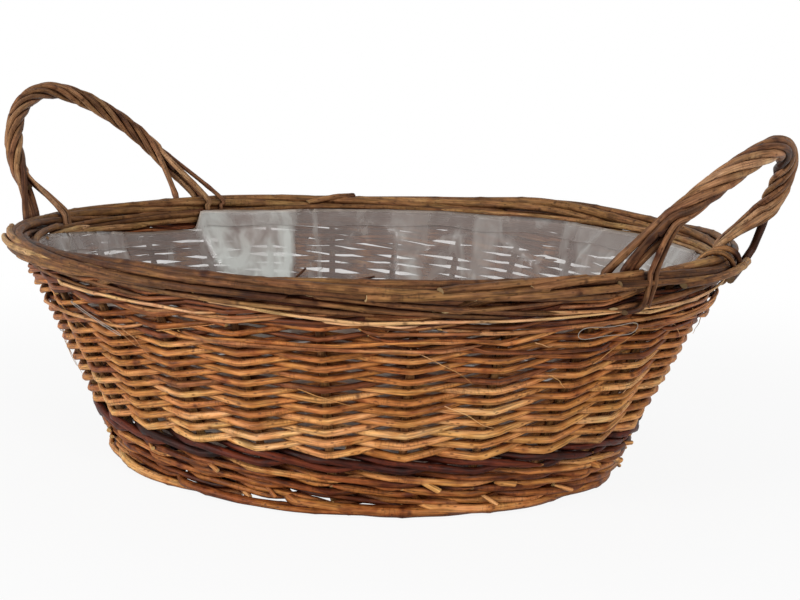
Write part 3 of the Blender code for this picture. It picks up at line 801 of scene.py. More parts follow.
# %% Rods that leave the border
# At the left end some rods stop short: last turn and length in degrees, rise and stand-off in mm
for last, length, rise, stand in ((218.0, 30.0, 4.5, -0.6), (223.0, 46.0, 1.0, 1.6),
                                  (229.0, 45.0, -2.0, -1.2), (238.0, 38.0, -3.0, -1.5)):
    share = np.linspace(0.0, 1.0, 24)
    turn = np.radians(last + (1.0 - share) * length)
    off = BORDER_RADIUS + np.interp(share, [0.0, 0.4, 1.0], [-4.5, -2.0, stand]) * MM
    line = oval(0.0, BORDER_HEIGHT + np.interp(share, [0.0, 0.5, 1.0], [0.0, rise, rise]) * MM, turn)
    line = line + outward(turn) * (off * math.cos(math.radians(rise * 5.0)))[:, None]
    border[1].add(line, BORDER_ROD * 0.85, BORDER_ROD * 0.78, dice.uniform(0.3, 0.8), sides=9, slant=0.5)
# Thin tips leave the bundle on its outer side and slope down over the wall
for index in range(2 * COUNT // 3):
    share = np.linspace(0.0, 1.0, 40)
    span = dice.uniform(1.8, 3.8)
    first = index * 1.5 + dice.uniform(-0.5, 0.5)
    seed = new_seed()
    # In the front left quarter they slope down to the right, elsewhere as often to the left
    downward = 0.66 < first / COUNT < 0.84 or dice.uniform() < 0.4
    fall = share if downward else 1.0 - share
    drop = dice.uniform(6.5, 10.5) * MM
    height = BORDER_HEIGHT - 1.5 * MM - drop * fall + smooth_noise(40, 14.0, seed) * 0.8 * MM
    out = (6.7 + 0.8 * np.sin(math.pi * share)) * MM - 2.2 * MM * (1.0 - fall)
    if 0.56 < first / COUNT < 0.68:
        out = out - 3.0 * MM
    radius = dice.uniform(1.5, 2.2) * MM
    border[index % 3].add(wall(turn_at(first + span * share), height, out), radius, radius * 0.6,
                          (dice.uniform(0.05, 0.60), dice.uniform(0.0, 0.55)), slant=1.2, point=7.0 * MM)
print("with those that leave it:", [bundle.made for bundle in border])

# %% Butts laid on the border, bent stakes inside it, and the rods in its middle
# Four butts at the front right and one at the back: first and last turn and their roll in
# degrees, and how far the first end lies off the border's centre in mm
for first, last, low, high, off in ((312.5, 333.0, 8.0, 66.0, 6.0), (324.5, 343.0, 14.0, 70.0, 5.0),
                                    (303.0, 327.0, -34.0, 10.0, 4.6), (317.0, 345.0, -30.0, 2.0, 4.4),
                                    (126.0, 135.0, 84.0, 165.0, 5.4)):
    share = np.linspace(0.0, 1.0, 40)
    spread = np.interp(share, [0.0, 0.3, 1.0], [off, 6.2, 5.6]) * MM
    line = on_border(np.radians(first + (last - first) * share),
                     np.radians(low + (high - low) * share ** 0.8), spread)
    border[2].add(line, 2.3 * MM, 1.9 * MM, (dice.uniform(0.2, 0.65), dice.uniform(0.2, 0.65)),
                  sides=10, slant=0.6)
# On the inner side the bent stakes run along under the border
for index in range(12):
    share = np.linspace(0.0, 1.0, 60)
    span = dice.uniform(7.0, 10.0)
    first = index * COUNT / 4 + dice.uniform(-1.0, 1.0)
    seed = new_seed()
    height = BORDER_HEIGHT - (4.5 + 3.4 * (index % 3)) * MM + smooth_noise(60, 16.0, seed) * 1.4 * MM
    line = wall(turn_at(first + span * share), height, -4.6 * MM + smooth_noise(60, 12.0, seed + 1) * MM)
    border[index % 3].add(line, 2.3 * MM, 1.6 * MM, (dice.uniform(0.3, 0.9), dice.uniform(0.2, 0.7)),
                          slant=1.2, point=7.0 * MM)
# Two dark side shoots were left on, and stick up inside the rim at the front
for place, ahead, up in ((293.0, 6.0, 6.0), (300.5, 13.0, 3.0)):
    turn = math.radians(place)
    root = oval(7.0 * MM, BORDER_HEIGHT + 3.0 * MM, turn)
    along = np.cross((0.0, 0.0, 1.0), outward(np.array(turn)))
    line = np.linspace(root, root + along * ahead * MM + np.array([0.0, 0.0, up * MM]), 8)
    border[0].add(line, 0.75 * MM, 0.6 * MM, 0.0, sides=6, buds=False)
# Long rods laid in the middle fill the bundle
for index, bundle in enumerate(border):
    turn = np.linspace(0.0, math.tau, 200) + index * 2.1
    middle = on_border(turn, turn * 3 + math.tau * index / 3, 1.3 * MM)
    bundle.add(middle, 1.9 * MM, 1.6 * MM, dice.uniform(0.2, 0.5), sides=7)
for node, bundle in zip(BORDER_NODES, border):
    bundle.piece(node.replace("rod", "rods"), olive_bark, "willow_olive", node)

# %% [markdown]
# ## Foot border
#
# The lower ends of the stakes are bent round in the same way, flatter and more loosely, and
# the basket stands on them. The gaps between this ring and the upsett let light through.

# %% Rods of the foot border
FOOT_ROD = 2.75 * MM
FOOT_HALF_HEIGHT = 1.2 * MM
FOOT_HALF_WIDTH = 3.8 * MM
FOOT_ROLL, FOOT_ROLL_SWEEP = 110.0, 290.0
foot = Rods()
for stake in range(0, COUNT, 2):
    span = 3.9 + dice.uniform(-0.4, 0.6)
    share = np.linspace(0.0, 1.0, 60)
    turn = turn_at(stake + span * share)
    roll = np.radians(FOOT_ROLL - FOOT_ROLL_SWEEP * share + dice.uniform(-14.0, 14.0))
    size = dice.uniform(0.86, 1.04)
    # The ring has spread most at the front left, and a little at the front right
    spread = 1.0 * MM + 5.0 * MM * np.maximum(np.cos(turn - math.radians(264.0)), 0.0) ** 3
    spread = spread + 3.5 * MM * np.maximum(np.cos(turn - math.radians(312.0)), 0.0) ** 6
    line = oval(FOOT_INSET, FOOT_ROD * size * 1.2 + FOOT_HALF_HEIGHT, turn)
    line = line + outward(turn) * (np.cos(roll) * FOOT_HALF_WIDTH + spread)[:, None]
    line[:, 2] += np.sin(roll) * FOOT_HALF_HEIGHT
    ease = eased(np.clip(share / 0.12, 0.0, 1.0))[:, None]
    stem = wall(turn, np.full(len(share), FOOT_TOP + 5.5 * MM), -3.0 * MM)
    line = stem * (1.0 - ease) + line * ease
    foot.add(line, FOOT_ROD * size * 1.05, FOOT_ROD * size * 0.88, dice.uniform(0.20, 0.80),
             sides=10, slant=0.7)
print("rods in the foot border:", foot.made)

# %% Rods that have sprung out of the foot, and rods packed behind it
# Turns in degrees, how far out in mm, how thick the tip is, how high it lies in mm, and its tone
SPRUNG = [((242.0, 257.0, 270.0, 281.0, 290.0, 304.0), (0.0, 1.0, 4.0, 8.5, 11.0, 8.0), 0.45, 0.0, 0.25),
          ((290.0, 297.0, 305.0, 314.0, 328.0), (6.0, 7.0, 5.5, 4.0, 1.0), 0.95, 1.5, 0.30)]
for bends, stand_at, tip, rise, tone in SPRUNG:
    places = np.linspace(bends[0], bends[-1], 50)
    stand = np.interp(places, bends, stand_at)
    for _ in range(4):
        stand[1:-1] = (stand[:-2] + stand[1:-1] + stand[2:]) / 3
    line = oval(FOOT_INSET, FOOT_ROD * 1.2 + rise * MM, np.radians(places))
    line = line + outward(np.radians(places)) * (FOOT_HALF_WIDTH + stand * MM - 1.5 * MM)[:, None]
    foot.add(line, FOOT_ROD, FOOT_ROD * tip, tone, sides=10, slant=0.3)
# Dark rods packed behind the ring close most of the gaps above it
for first, last in ((292.0, 450.0), (436.0, 574.0), (267.0, 280.0)):
    height = FOOT_TOP + 1.5 * MM + smooth_noise(80, 5.0, int(first)) * 2.2 * MM
    line = wall(np.radians(np.linspace(first, last, 80)), height, -3.5 * MM)
    foot.add(line, 2.4 * MM, 2.2 * MM, 0.0)
foot.piece("foot_border_rods", tan_bark, "willow_brown", "foot_border")

# %% [markdown]
# ## Base
#
# Nobody sees much of the base, but it shows from above and dimly through the film: two long
# sticks, three cross sticks, and thin rods woven in ovals. The sticks follow their CAD nodes,
# and the ovals are laid about 5 mm apart between the edges of the two CAD rings.

# %% Sticks and woven ovals of the base
for name in sorted(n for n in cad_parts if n.startswith("base_long") or n.startswith("base_cross")):
    low, high = corners(name)
    axis = 0 if "long" in name else 1
    ends = np.array([(low + high) / 2, (low + high) / 2])
    ends[0, axis] = low[axis] + 0.3 * MM
    ends[1, axis] = high[axis] - 0.3 * MM
    stick = Rods()
    stick.add(spread_evenly(ends, 6.0 * MM), 2.0 * MM, 1.85 * MM, dice.uniform(0.2, 0.6), slant=0.2)
    stick.piece(name + "_rod", red_bark, "willow_brown", name)

BASE_ROD = 2.1 * MM
BASE_PITCH = 5.2 * MM


def add_base_round(bundle, node, share, row, points=121):
    """One oval of the base, a share of its node's size, that waves over and under the sticks."""
    low, high = corners(node)
    half = (high - low) / 2
    turn = np.linspace(0.0, math.tau, points) + dice.uniform(0.0, math.tau)
    height = (high[2] + low[2]) / 2 + 0.5 * MM * np.sin(turn * 5 + math.pi * row)
    line = np.stack([CENTRE_X + half[0] * share * np.cos(turn), half[1] * share * np.sin(turn),
                     height], axis=1)
    bundle.add(line, BASE_ROD * 1.05, BASE_ROD * 0.95, dice.uniform(0.2, 0.8), sides=7)


def half_long(node):
    return (corners(node)[1][0] - corners(node)[0][0]) / 2


for name in ("base_weave_outer", "base_weave_inner"):
    half = half_long(name)
    inner = corners("base_weave_inner")[1][0] - CENTRE_X if "outer" in name else half * 0.29
    rows = round((half - inner) / BASE_PITCH)
    ring = Rods()
    for row in range(rows):
        add_base_round(ring, name, 1.0 - (1.0 - inner / half) * (row + 0.5) / rows, row)
    ring.piece(name + "_rods", olive_bark, "willow_olive", name)

# %% [markdown]
# ## Handles
#
# Each handle is a rope of six or seven rods twisted together. Near its feet the rope opens,
# and every rod finds its own way over the border, some outside and some inside, where it is
# tucked down into the wall. The bow's centre line is a superellipse in a leaning plane, the
# same kind as in the CAD model. The feet are tables of where each rod comes down, because
# that is a maker's choice and follows no rule.


# %% The bow's centre line
def handle_bow(side, reach, half_span, lean_degrees, fullness, core, out, skew):
    lean = math.radians(lean_degrees)
    root = HALF_LENGTH * math.sqrt(1.0 - (half_span / HALF_WIDTH) ** 2)
    turn = np.linspace(0.0, math.pi, 181)
    across = np.copysign(np.abs(np.cos(turn)) ** (2 / fullness), np.cos(turn))
    climb = np.maximum(np.sin(turn), 0.0) ** (2 / fullness)
    bulge = side * out * np.minimum(climb / 0.35, 1.0)
    line = np.stack([
        CENTRE_X + side * root + bulge + side * math.sin(lean) * reach * climb,
        -half_span * across + skew * climb,
        RIM_TOP + core / 2 + math.cos(lean) * reach * climb,
    ], axis=1)
    return spread_evenly(softened(spread_evenly(line, 2.5 * MM), 6), 2.5 * MM)


def flow(points, gap):
    """A smooth line through a few points."""
    points = np.asarray(points, dtype=float)
    padded = np.concatenate([[2 * points[0] - points[1]], points, [2 * points[-1] - points[-2]]])
    out = []
    for a, b, c, d in zip(padded, padded[1:], padded[2:], padded[3:]):
        for part in np.linspace(0.0, 1.0, 12, endpoint=False):
            out.append(0.5 * (2 * b + (c - a) * part + (2 * a - 5 * b + 4 * c - d) * part ** 2
                              + (3 * b - a - 3 * c + d) * part ** 3))
    out.append(points[-1])
    return spread_evenly(np.array(out), gap)


# %% How a rod passes the border
INSIDE, ON_TOP, OUTSIDE = 1.0, 0.05, -1.0


def foot_path(turn, slide, inward, radius, depth, hook=0.0, early=0.0):
    """Where a rod passes the border: above it, beside it, and down, hooked along the rim."""
    place = np.array(turn + slide / metres_per_radian(turn))
    away = -outward(place) * inward
    centre = oval(0.0, np.array(BORDER_HEIGHT), place)
    clear = BORDER_RADIUS + radius + 0.3 * MM
    beside = centre + away * clear
    along = np.cross((0.0, 0.0, 1.0), outward(place))
    down = beside - outward(place) * math.tan(RISE_ANGLE) * depth * 0.8 - np.array([0.0, 0.0, depth])
    end = down + along * hook - np.array([0.0, 0.0, abs(hook) * 0.3]) - outward(place) * abs(hook) * 0.35
    tail = [down, end] if hook else [down]
    if inward > 0.0:
        over = centre + away * clear * 0.75 + np.array([0.0, 0.0, clear * (1.0 - 0.15 * inward)])
        return [over, beside, *tail]
    # Outside, a rod comes straight down from the leaning rope
    above = beside + outward(place) * (1.5 * MM + early * 0.15) + np.array([0.0, 0.0, 8.0 * MM])
    return [above, beside + outward(place) * early * 0.05, *tail]


def nearest_feet(starts, turn, feet):
    """The feet in the order of the rods, so that the rods go the shortest ways to them."""
    heads = [foot_path(turn, *foot)[0] for foot in feet]
    ways = np.array([[np.sum((start - head) ** 2) for head in heads] for start in starts])
    rods = range(len(feet))
    best = min(itertools.permutations(rods), key=lambda order: sum(ways[rod, order[rod]] for rod in rods))
    return [feet[place] for place in best]


# %% A rope of rods along the bow
STRAND = 2.0 * MM


def in_metres(feet):
    """A table of feet in millimetres, its third column a share of the strand's radius."""
    return [(slide * MM, inward, STRAND * thick, *[length * MM for length in lengths])
            for slide, inward, thick, *lengths in feet]


def handle_lines(bow, rope_radius, pitch, openings, near, far):
    """The way of each rod from foot to foot, with its two feet."""
    along = run_along(bow)
    sides, ups = carried_frame(bow)
    root_turn = math.atan2(bow[-1][1] / HALF_WIDTH, (bow[-1][0] - CENTRE_X) / HALF_LENGTH)
    angles = [math.tau * index / len(near) + math.tau * along / pitch for index in range(len(near))]
    ropes = [bow + (sides * np.cos(angle)[:, None] + ups * np.sin(angle)[:, None]) * rope_radius
             for angle in angles]
    near = nearest_feet([rope[along > openings[0]][0] for rope in ropes], -root_turn, near)
    far = nearest_feet([rope[along < along[-1] - openings[1]][-1] for rope in ropes], root_turn, far)
    lines = []
    for rope, near_foot, far_foot in zip(ropes, near, far):
        # A rod may leave the rope earlier than the others do
        early = [foot[5] if len(foot) > 5 else 0.0 for foot in (near_foot, far_foot)]
        keep = (along > openings[0] + early[0]) & (along < along[-1] - openings[1] - early[1])
        start = foot_path(-root_turn, *near_foot)
        lines.append(flow([*start[::-1], *rope[keep][::4], *foot_path(root_turn, *far_foot)], 2.6 * MM))
    return lines, near, far


def build_handle(name, bow, rope_radius, pitch, openings, near, far, tones):
    """A rope of rods along the bow, opened at its feet, on a dark rod that fills its middle."""
    lines, near, far = handle_lines(bow, rope_radius, pitch, openings, in_metres(near), in_metres(far))
    groups = [("core", [0, 1]), ("wrap_1", [2, 3]), ("wrap_2", list(range(4, len(near))))]
    for group, members in groups:
        bundle = Rods()
        for member in members:
            size = dice.uniform(0.90, 1.08)
            thin = np.interp(np.linspace(0.0, 1.0, len(lines[member])), [0.0, 0.18, 0.30, 0.70, 0.82, 1.0],
                             [near[member][2] / STRAND] * 2 + [1.0] * 2 + [far[member][2] / STRAND] * 2)
            tone = np.linspace(dice.uniform(*tones), dice.uniform(*tones), 16)
            if len(near[member]) > 4:
                # The rod that hooks under the border ends in a weathered cut
                tone[0] = -0.2
            if len(far[member]) > 5:
                tone[8:] = 0.0
            bundle.add(lines[member], STRAND * size * 1.03, STRAND * size * 0.97, tone, slant=0.6, slim=thin)
        if group == "core":
            along = run_along(bow)
            inside = (along > openings[0] * 0.8) & (along < along[-1] - openings[1] * 0.8)
            bundle.add(bow[inside], rope_radius * 0.62, rope_radius * 0.62, 0.0, sides=7, buds=False)
        slot = "willow_olive" if group == "core" else "willow_tan"
        bundle.piece(f"{name}_handle_{group}_rods", handle_bark, slot, f"{name}_handle_{group}")


# %% The left handle, taller and thinner
left_bow = handle_bow(-1, 95.5 * MM, 73.5 * MM, 39.5, 1.84, 6.6 * MM, 8.2 * MM, -3.5 * MM)
# Each foot: slide along the rim in mm, inside or outside, thickness, depth of the tuck in mm
left_near = [(7, OUTSIDE, 1, 9), (3, OUTSIDE, 1, 9), (-18, INSIDE, 1, 14), (-3, OUTSIDE, 1, 8),
             (-8, OUTSIDE, 1.1, 9), (-14, INSIDE, 0.8, 8)]
left_far = [(13, OUTSIDE, 1, 9), (0, OUTSIDE, 1, 8), (-4, INSIDE, 1, 9), (-4, OUTSIDE, 1, 9),
            (-8, OUTSIDE, 1, 9), (-15, INSIDE, 0.8, 9)]
build_handle("left", left_bow, 4.1 * MM, 84 * MM, (25 * MM, 30 * MM), left_near, left_far, (0.12, 0.82))

# %% The right handle, lower and thicker
# Two feet also have a hook along the rim, and one how early the rod leaves the rope, in mm
right_bow = handle_bow(1, 74.0 * MM, 73.0 * MM, 37.8, 1.65, 8.2 * MM, 8.4 * MM, 1.1 * MM)
right_near = [(2, INSIDE, 1, 9), (8, ON_TOP, 1, 3), (17, OUTSIDE, 0.8, 12, -9), (11, ON_TOP, 1, 3),
              (21, OUTSIDE, 0.7, 12), (15, ON_TOP, 1, 3), (18, INSIDE, 1, 9)]
right_far = [(-8, INSIDE, 1, 10), (-4, INSIDE, 1, 9), (2, OUTSIDE, 1.15, 7, -17, 24), (0, INSIDE, 1, 9),
             (5, INSIDE, 1, 9), (9, INSIDE, 1, 9), (13, INSIDE, 1, 9)]
build_handle("right", right_bow, 4.3 * MM, 92 * MM, (34 * MM, 22 * MM), right_near, right_far,
             (0.20, 0.84))

# %% [markdown]
# ## Loose ends at the right
#
# Beside the right handle's far foot the maker ran out of room. Two rods come up from inside,
# bend over the border and stop on its outer side, and thick butts stand off the rim there.
# They follow the border with a roll that goes over it, as its own rods do.

# %% Ends over the border at the right
loose_ends = Rods()
# First and last turn and their roll in degrees, how far off the border's centre in mm, radius in mm
for first, last, low, high, off, radius in ((4.0, 8.0, 160.0, -22.0, 9.2, 1.6),
                                            (9.0, 12.0, 150.0, -12.0, 9.6, 1.7),
                                            (16.0, -9.0, -2.0, -24.0, 9.7, 2.3),
                                            (11.0, -22.0, -30.0, 12.0, 8.0, 1.7)):
    share = np.linspace(0.0, 1.0, 30)
    spread = np.interp(share, [0.0, 0.5, 1.0], [off, off - 0.7, 7.2]) * MM
    turn = np.radians(first + (last - first) * share)
    line = on_border(turn, np.radians(low + (high - low) * share), spread)
    loose_ends.add(line, radius * MM, radius * 0.95 * MM, (0.7, 0.15), sides=9, slant=0.4)
loose_ends.piece("right_loose_ends", olive_bark, "willow_olive")

# %% [markdown]
# ## The middle of the base
#
# The weaving of a base starts where its sticks cross, with thin rods wound close together.
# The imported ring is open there, so the first rounds are added as a small piece of their own.

# %% The first rounds of the base
first_rounds = Rods()
for row in range(4):
    share = (7.0 * MM + BASE_PITCH * row) / half_long("base_weave_inner")
    add_base_round(first_rounds, "base_weave_inner", share, row, points=61)
first_rounds.piece("base_first_rounds", olive_bark, "willow_olive")

# %% [markdown]
# ## Film liner
#
# The liner is thin clear polyethylene. It is cut flat, pushed into the basket, and folded
# over at the top, so the spare width stands in soft pleats. One surface is enough, because
# the film has no thickness that the eye could see. Its milky look comes from many small
# creases and from the places where it lies double.

# %% Creases and folds of clear polyethylene film
film, tree, shader = new_material("creased_clear_polyethylene_film")
shader.inputs["Roughness"].default_value = 0.22
# Polyethylene has an index of refraction of about 1.5
shader.inputs["IOR"].default_value = 1.5
place = add(tree, "TexCoord").outputs["Object"]
double, sagging, cuffed, rim = (add(tree, "Attribute", attribute_name=label).outputs["Fac"]
                                for label in ("double", "sagging", "cuffed", "rim"))
cloud = add(tree, "TexNoise", {"Vector": place, "Scale": 18.0, "Detail": 3.0, "Distortion": 0.8})
# Hanging film wrinkles upright, so this noise is stretched three times in height
upright = add(tree, "VectorMath", {0: place, 1: (1.0, 1.0, 0.3)}, operation="MULTIPLY")
drape = add(tree, "TexNoise", {"Vector": upright, "Scale": 95.0, "Detail": 2.0, "Distortion": 0.5})
# Sharp creases, 40 to 60 mm apart, meet at corners as in any film that has been folded up
bent = add(tree, "VectorMath", {0: cloud.outputs["Color"], 1: (0.02, 0.02, 0.02), 2: place},
           operation="MULTIPLY_ADD")
facets = add(tree, "TexVoronoi", {"Vector": bent, "Scale": 16.0}, feature="DISTANCE_TO_EDGE")
crease = add(tree, "MapRange", {0: facets, 1: 0.0, 2: 0.05, 3: 1.0, 4: 0.0})
worn = add(tree, "MapRange", {0: cloud, 1: 0.42, 2: 0.62})
crease = add(tree, "Math", {0: crease, 1: worn}, operation="MULTIPLY")
# Where the film hangs in soft folds it catches the light in broad upright patches
folds = add(tree, "VectorMath", {0: place, 1: (1.0, 1.0, 0.45)}, operation="MULTIPLY")
folds = add(tree, "TexNoise", {"Vector": folds, "Scale": 34.0, "Detail": 3.0, "Distortion": 1.6})
folds = add(tree, "MapRange", {0: folds, 1: 0.50, 2: 0.72, 3: 0.0, 4: 0.34})
print("film patterns", cloud.name, drape.name, facets.name)

# %% How much the film hides
haze = add(tree, "MapRange", {0: cloud, 1: 0.35, 2: 0.7, 3: 0.40, 4: 0.54})
streaks = add(tree, "MapRange", {0: drape, 1: 0.35, 2: 0.65, 3: 0.55, 4: 1.0})
milk = add(tree, "Math", {0: double, 1: streaks}, operation="MULTIPLY")
milk = add(tree, "Math", {0: milk, 1: folds}, operation="ADD")
milk = add(tree, "Math", {0: crease, 1: 0.22, 2: milk}, operation="MULTIPLY_ADD", use_clamp=True)
facing = add(tree, "LayerWeight", {"Blend": 0.35}).outputs["Facing"]
veil = add(tree, "Math", {0: facing, 1: 0.30, 2: haze}, operation="MULTIPLY_ADD")
# The cuff lies so close that it hides little. A thin dark line along its cut edge is a painted shadow
veil = add(tree, "Math", {0: cuffed, 1: -0.22, 2: veil}, operation="MULTIPLY_ADD")
veil = add(tree, "Math", {0: milk, 1: 0.50, 2: veil}, operation="MULTIPLY_ADD", use_clamp=True)
cuff_edge_shadow = add(tree, "MapRange", {0: rim, 1: 0.70, 2: 0.95, 3: 0.0, 4: 0.45})
veil = add(tree, "Math", {0: veil, 1: cuff_edge_shadow}, operation="ADD", use_clamp=True)
tree.links.new(veil.outputs[0], shader.inputs["Alpha"])
print("alpha of the film from", veil.name)

# %% The film's colour and relief
# Where a fold sags away from the light it is as milky, but darker
pale = add(tree, "Math", {0: milk, 1: sagging}, operation="SUBTRACT", use_clamp=True)
colour = add(tree, "Mix", {0: pale, 6: linear("#988A84"), 7: linear("#CDD0CB")}, **BLEND)
# Painted shadow: a dark line along the cuff's edge
colour = add(tree, "Mix", {0: cuff_edge_shadow, 6: colour, 7: linear("#4A443F")}, **BLEND)
# Light that has come through from inside makes the outer side look paler and warmer
outside = add(tree, "NewGeometry").outputs["Backfacing"]
outside = add(tree, "Math", {0: outside, 1: cuffed}, operation="SUBTRACT", use_clamp=True)
colour = add(tree, "Mix", {0: outside, 6: colour, 7: linear("#DCC9B8")}, **BLEND)
tree.links.new(colour.outputs[2], shader.inputs["Base Color"])
relief = add(tree, "Math", {0: crease, 1: 0.8, 2: drape}, operation="MULTIPLY_ADD")
bump = add(tree, "Bump", {"Strength": 0.55, "Distance": 1.6 * MM, "Height": relief})
tree.links.new(bump.outputs[0], shader.inputs["Normal"])
print("film", film.name, "with", len(tree.nodes), "nodes")

# %% [markdown]
# ## The liner's folds
#
# A flat sheet pushed into a bowl has width to spare, and it has to go somewhere: it stands in
# folds. A cloth simulation finds folds too, but not those of the photograph. So each fold is
# listed by its place, and the film is drawn as rings that step inward where a fold stands.
# Its edge is folded over as a cuff under the border, and has slipped down at the left.

# %% Folds and waves of the liner
COLUMNS = COUNT * 16
# Folds where the spare width lies double: middle and half width in degrees, and how milky
BIG_FOLD = 149.5
FOLDS = [(BIG_FOLD, 12.5, 1.0), (134.0, 0.9, 0.8), (62.0, 14.0, 0.28), (42.0, 7.0, 0.60),
         (113.0, 5.0, 0.22), (96.0, 4.0, 0.28), (188.0, 7.0, 0.15), (206.0, 6.0, 0.28),
         (18.0, 10.0, 0.55), (348.0, 9.0, 0.5), (318.0, 10.0, 0.4), (288.0, 9.0, 0.5),
         (260.0, 8.0, 0.35), (233.0, 9.0, 0.5)]


def ripple(turn, waves, seed):
    """A sum of waves round the oval, from -1 to 1 or so."""
    own = np.random.default_rng(seed)
    total = np.zeros_like(turn)
    for wave in waves:
        total += np.sin(wave * turn + own.uniform(0, math.tau)) * own.uniform(0.5, 1.0)
    return total / math.sqrt(len(waves))


def folded(turn, share):
    """How much each fold stands in at a turn, at a share of the film's height."""
    stand = np.zeros_like(turn)
    milky = np.zeros_like(turn)
    for middle, half, milk in FOLDS:
        half = half * (0.40 + 0.60 * share)
        off = (turn - math.radians(middle - 3.0 * (1.0 - share)) + math.pi) % math.tau - math.pi
        inside = np.clip((math.radians(half) - np.abs(off)) / math.radians(1.3), 0.0, 1.0)
        stand = np.maximum(stand, inside)
        milky = np.maximum(milky, inside * milk)
    return stand, milky


def sag_at(turn, share):
    """How far the largest fold sags away from the light, which leaves a darker dome in it."""
    across = (turn - math.radians(BIG_FOLD)) / math.radians(7.5)
    return 0.62 * np.exp(-across ** 2 - ((share - 0.86) / 0.17) ** 2)


print("folds of the film at", [middle for middle, half, milk in FOLDS])

# %% The liner's rings: its floor, its pleated wall and its cuff
liner_low, liner_high = corners("liner_film")
FILM_INSET = 8.0 * MM
CUFF = 11.0 * MM
CUFF_RINGS = 5
LEVELS = 26
turns = math.tau * np.arange(COLUMNS) / COLUMNS
crinkle = ripple(turns, [31, 43, 59], 6)
# Height of the film's edge against the middle of the border: it has slipped down at the left
EDGE_TURNS = np.radians([0, 40, 90, 160, 162, 178, 194, 210, 222, 260, 310, 360])
EDGE_HEIGHTS = np.array([-5, -4, -2, -2, -15, -13, -8, -3, -1, -4, -5, -5]) * MM
edge = BORDER_HEIGHT + np.interp(turns, EDGE_TURNS, EDGE_HEIGHTS)
edge_drop = edge - liner_high[2] + ripple(turns, [3, 5, 9, 14], 7) * 0.6 * MM
# At the left end the film is pulled out to the border
pulled = 1.6 * MM * np.maximum(np.cos(turns - math.radians(212.0)), 0.0) ** 4
floor_height = liner_low[2] + 0.4 * MM
rings = []
for share in (0.0, 0.25, 0.5, 0.75, 0.9, 1.0):
    inset = wall_inset(np.array(floor_height)) + FILM_INSET + 6.0 * MM
    lift = 0.8 * MM * np.abs(ripple(turns, [5, 8, 13], 8)) * share
    spots = np.stack([CENTRE_X + (HALF_LENGTH - inset) * share * np.cos(turns),
                      (HALF_WIDTH - inset) * share * np.sin(turns), floor_height + lift], axis=1)
    rings.append((spots, np.zeros(COLUMNS), np.zeros(COLUMNS)))
for share in np.linspace(0.0, 1.0, LEVELS + 1):
    wall_foot = floor_height + 5.0 * MM
    height = wall_foot + (liner_high[2] - wall_foot) * share + edge_drop * share
    stand, milky = folded(turns + 0.02 * ripple(turns * 0 + share * 5.0, [1, 2], 12), share)
    fold = stand * 5.0 * MM * (1.0 - 0.6 * share) + crinkle * 0.6 * MM + 1.4 * MM
    sway = ripple(turns + share * 0.35, [4, 6, 15, 23], 9) * 1.5 * MM
    inset = wall_inset(height) + FILM_INSET + np.maximum(fold + sway, 0.0) - pulled * share
    rings.append((oval(inset, height, turns), milky, sag_at(turns, share)))
for share in np.arange(1, CUFF_RINGS + 1) / CUFF_RINGS:
    height = liner_high[2] + edge_drop - CUFF * share * (1.0 + 0.12 * ripple(turns, [6, 10, 19], 11))
    stand, milky = folded(turns, 1.0)
    fold = stand * 3.0 * MM + crinkle * 0.5 * MM + (1.6 + 1.1 * share) * MM
    inset = wall_inset(height) + FILM_INSET + np.maximum(fold, 1.2 * MM) - pulled
    rings.append((oval(inset, height, turns), milky * 0.6, sag_at(turns, 1.0 - 0.3 * share) * 0.6))
print("liner rings", len(rings))

# %% The liner's mesh
spots = np.concatenate([rings[0][0][:1], *[ring[0] for ring in rings[1:]]])
columns = np.arange(COLUMNS)
after = (columns + 1) % COLUMNS
faces = [(0, 1 + k, 1 + (k + 1) % COLUMNS) for k in range(COLUMNS)]
for low in 1 + COLUMNS * np.arange(len(rings) - 2):
    high = low + COLUMNS
    faces.extend(np.stack([low + columns, high + columns, high + after, low + after], axis=1).tolist())
mesh = bpy.data.meshes.new("liner")
mesh.from_pydata(spots.tolist(), [], faces)
mesh.polygons.foreach_set("use_smooth", [True] * len(faces))
for label, column in (("double", 1), ("sagging", 2)):
    mark(mesh, label, np.concatenate([[0.0], *[ring[column] for ring in rings[1:]]]))
cuff_ring = (np.arange(len(spots)) - 1) // COLUMNS - (len(rings) - 2 - CUFF_RINGS)
for label, first in (("cuffed", 1), ("rim", CUFF_RINGS)):
    mark(mesh, label, cuff_ring >= first)
mesh.materials.append(film)
liner = put("liner_sheet", mesh)
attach(liner, "root")
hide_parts("liner_film")

# %% [markdown]
# ## Thread ties
#
# Two slack loops of clear nylon thread hold the liner to the wall. Nylon monofilament is
# shiny and half clear, and a third of a millimetre of it shows as a bright line.

# %% Nylon thread and its two loops
nylon, tree, shader = new_material("drawn_nylon_thread")
shader.inputs["Base Color"].default_value = linear("#8E8981")
shader.inputs["IOR"].default_value = 1.53
sheen_noise = add(tree, "TexNoise", {"Scale": 300.0})
rough = add(tree, "MapRange", {0: sheen_noise, 3: 0.28, 4: 0.45})
tree.links.new(rough.outputs[0], shader.inputs["Roughness"])
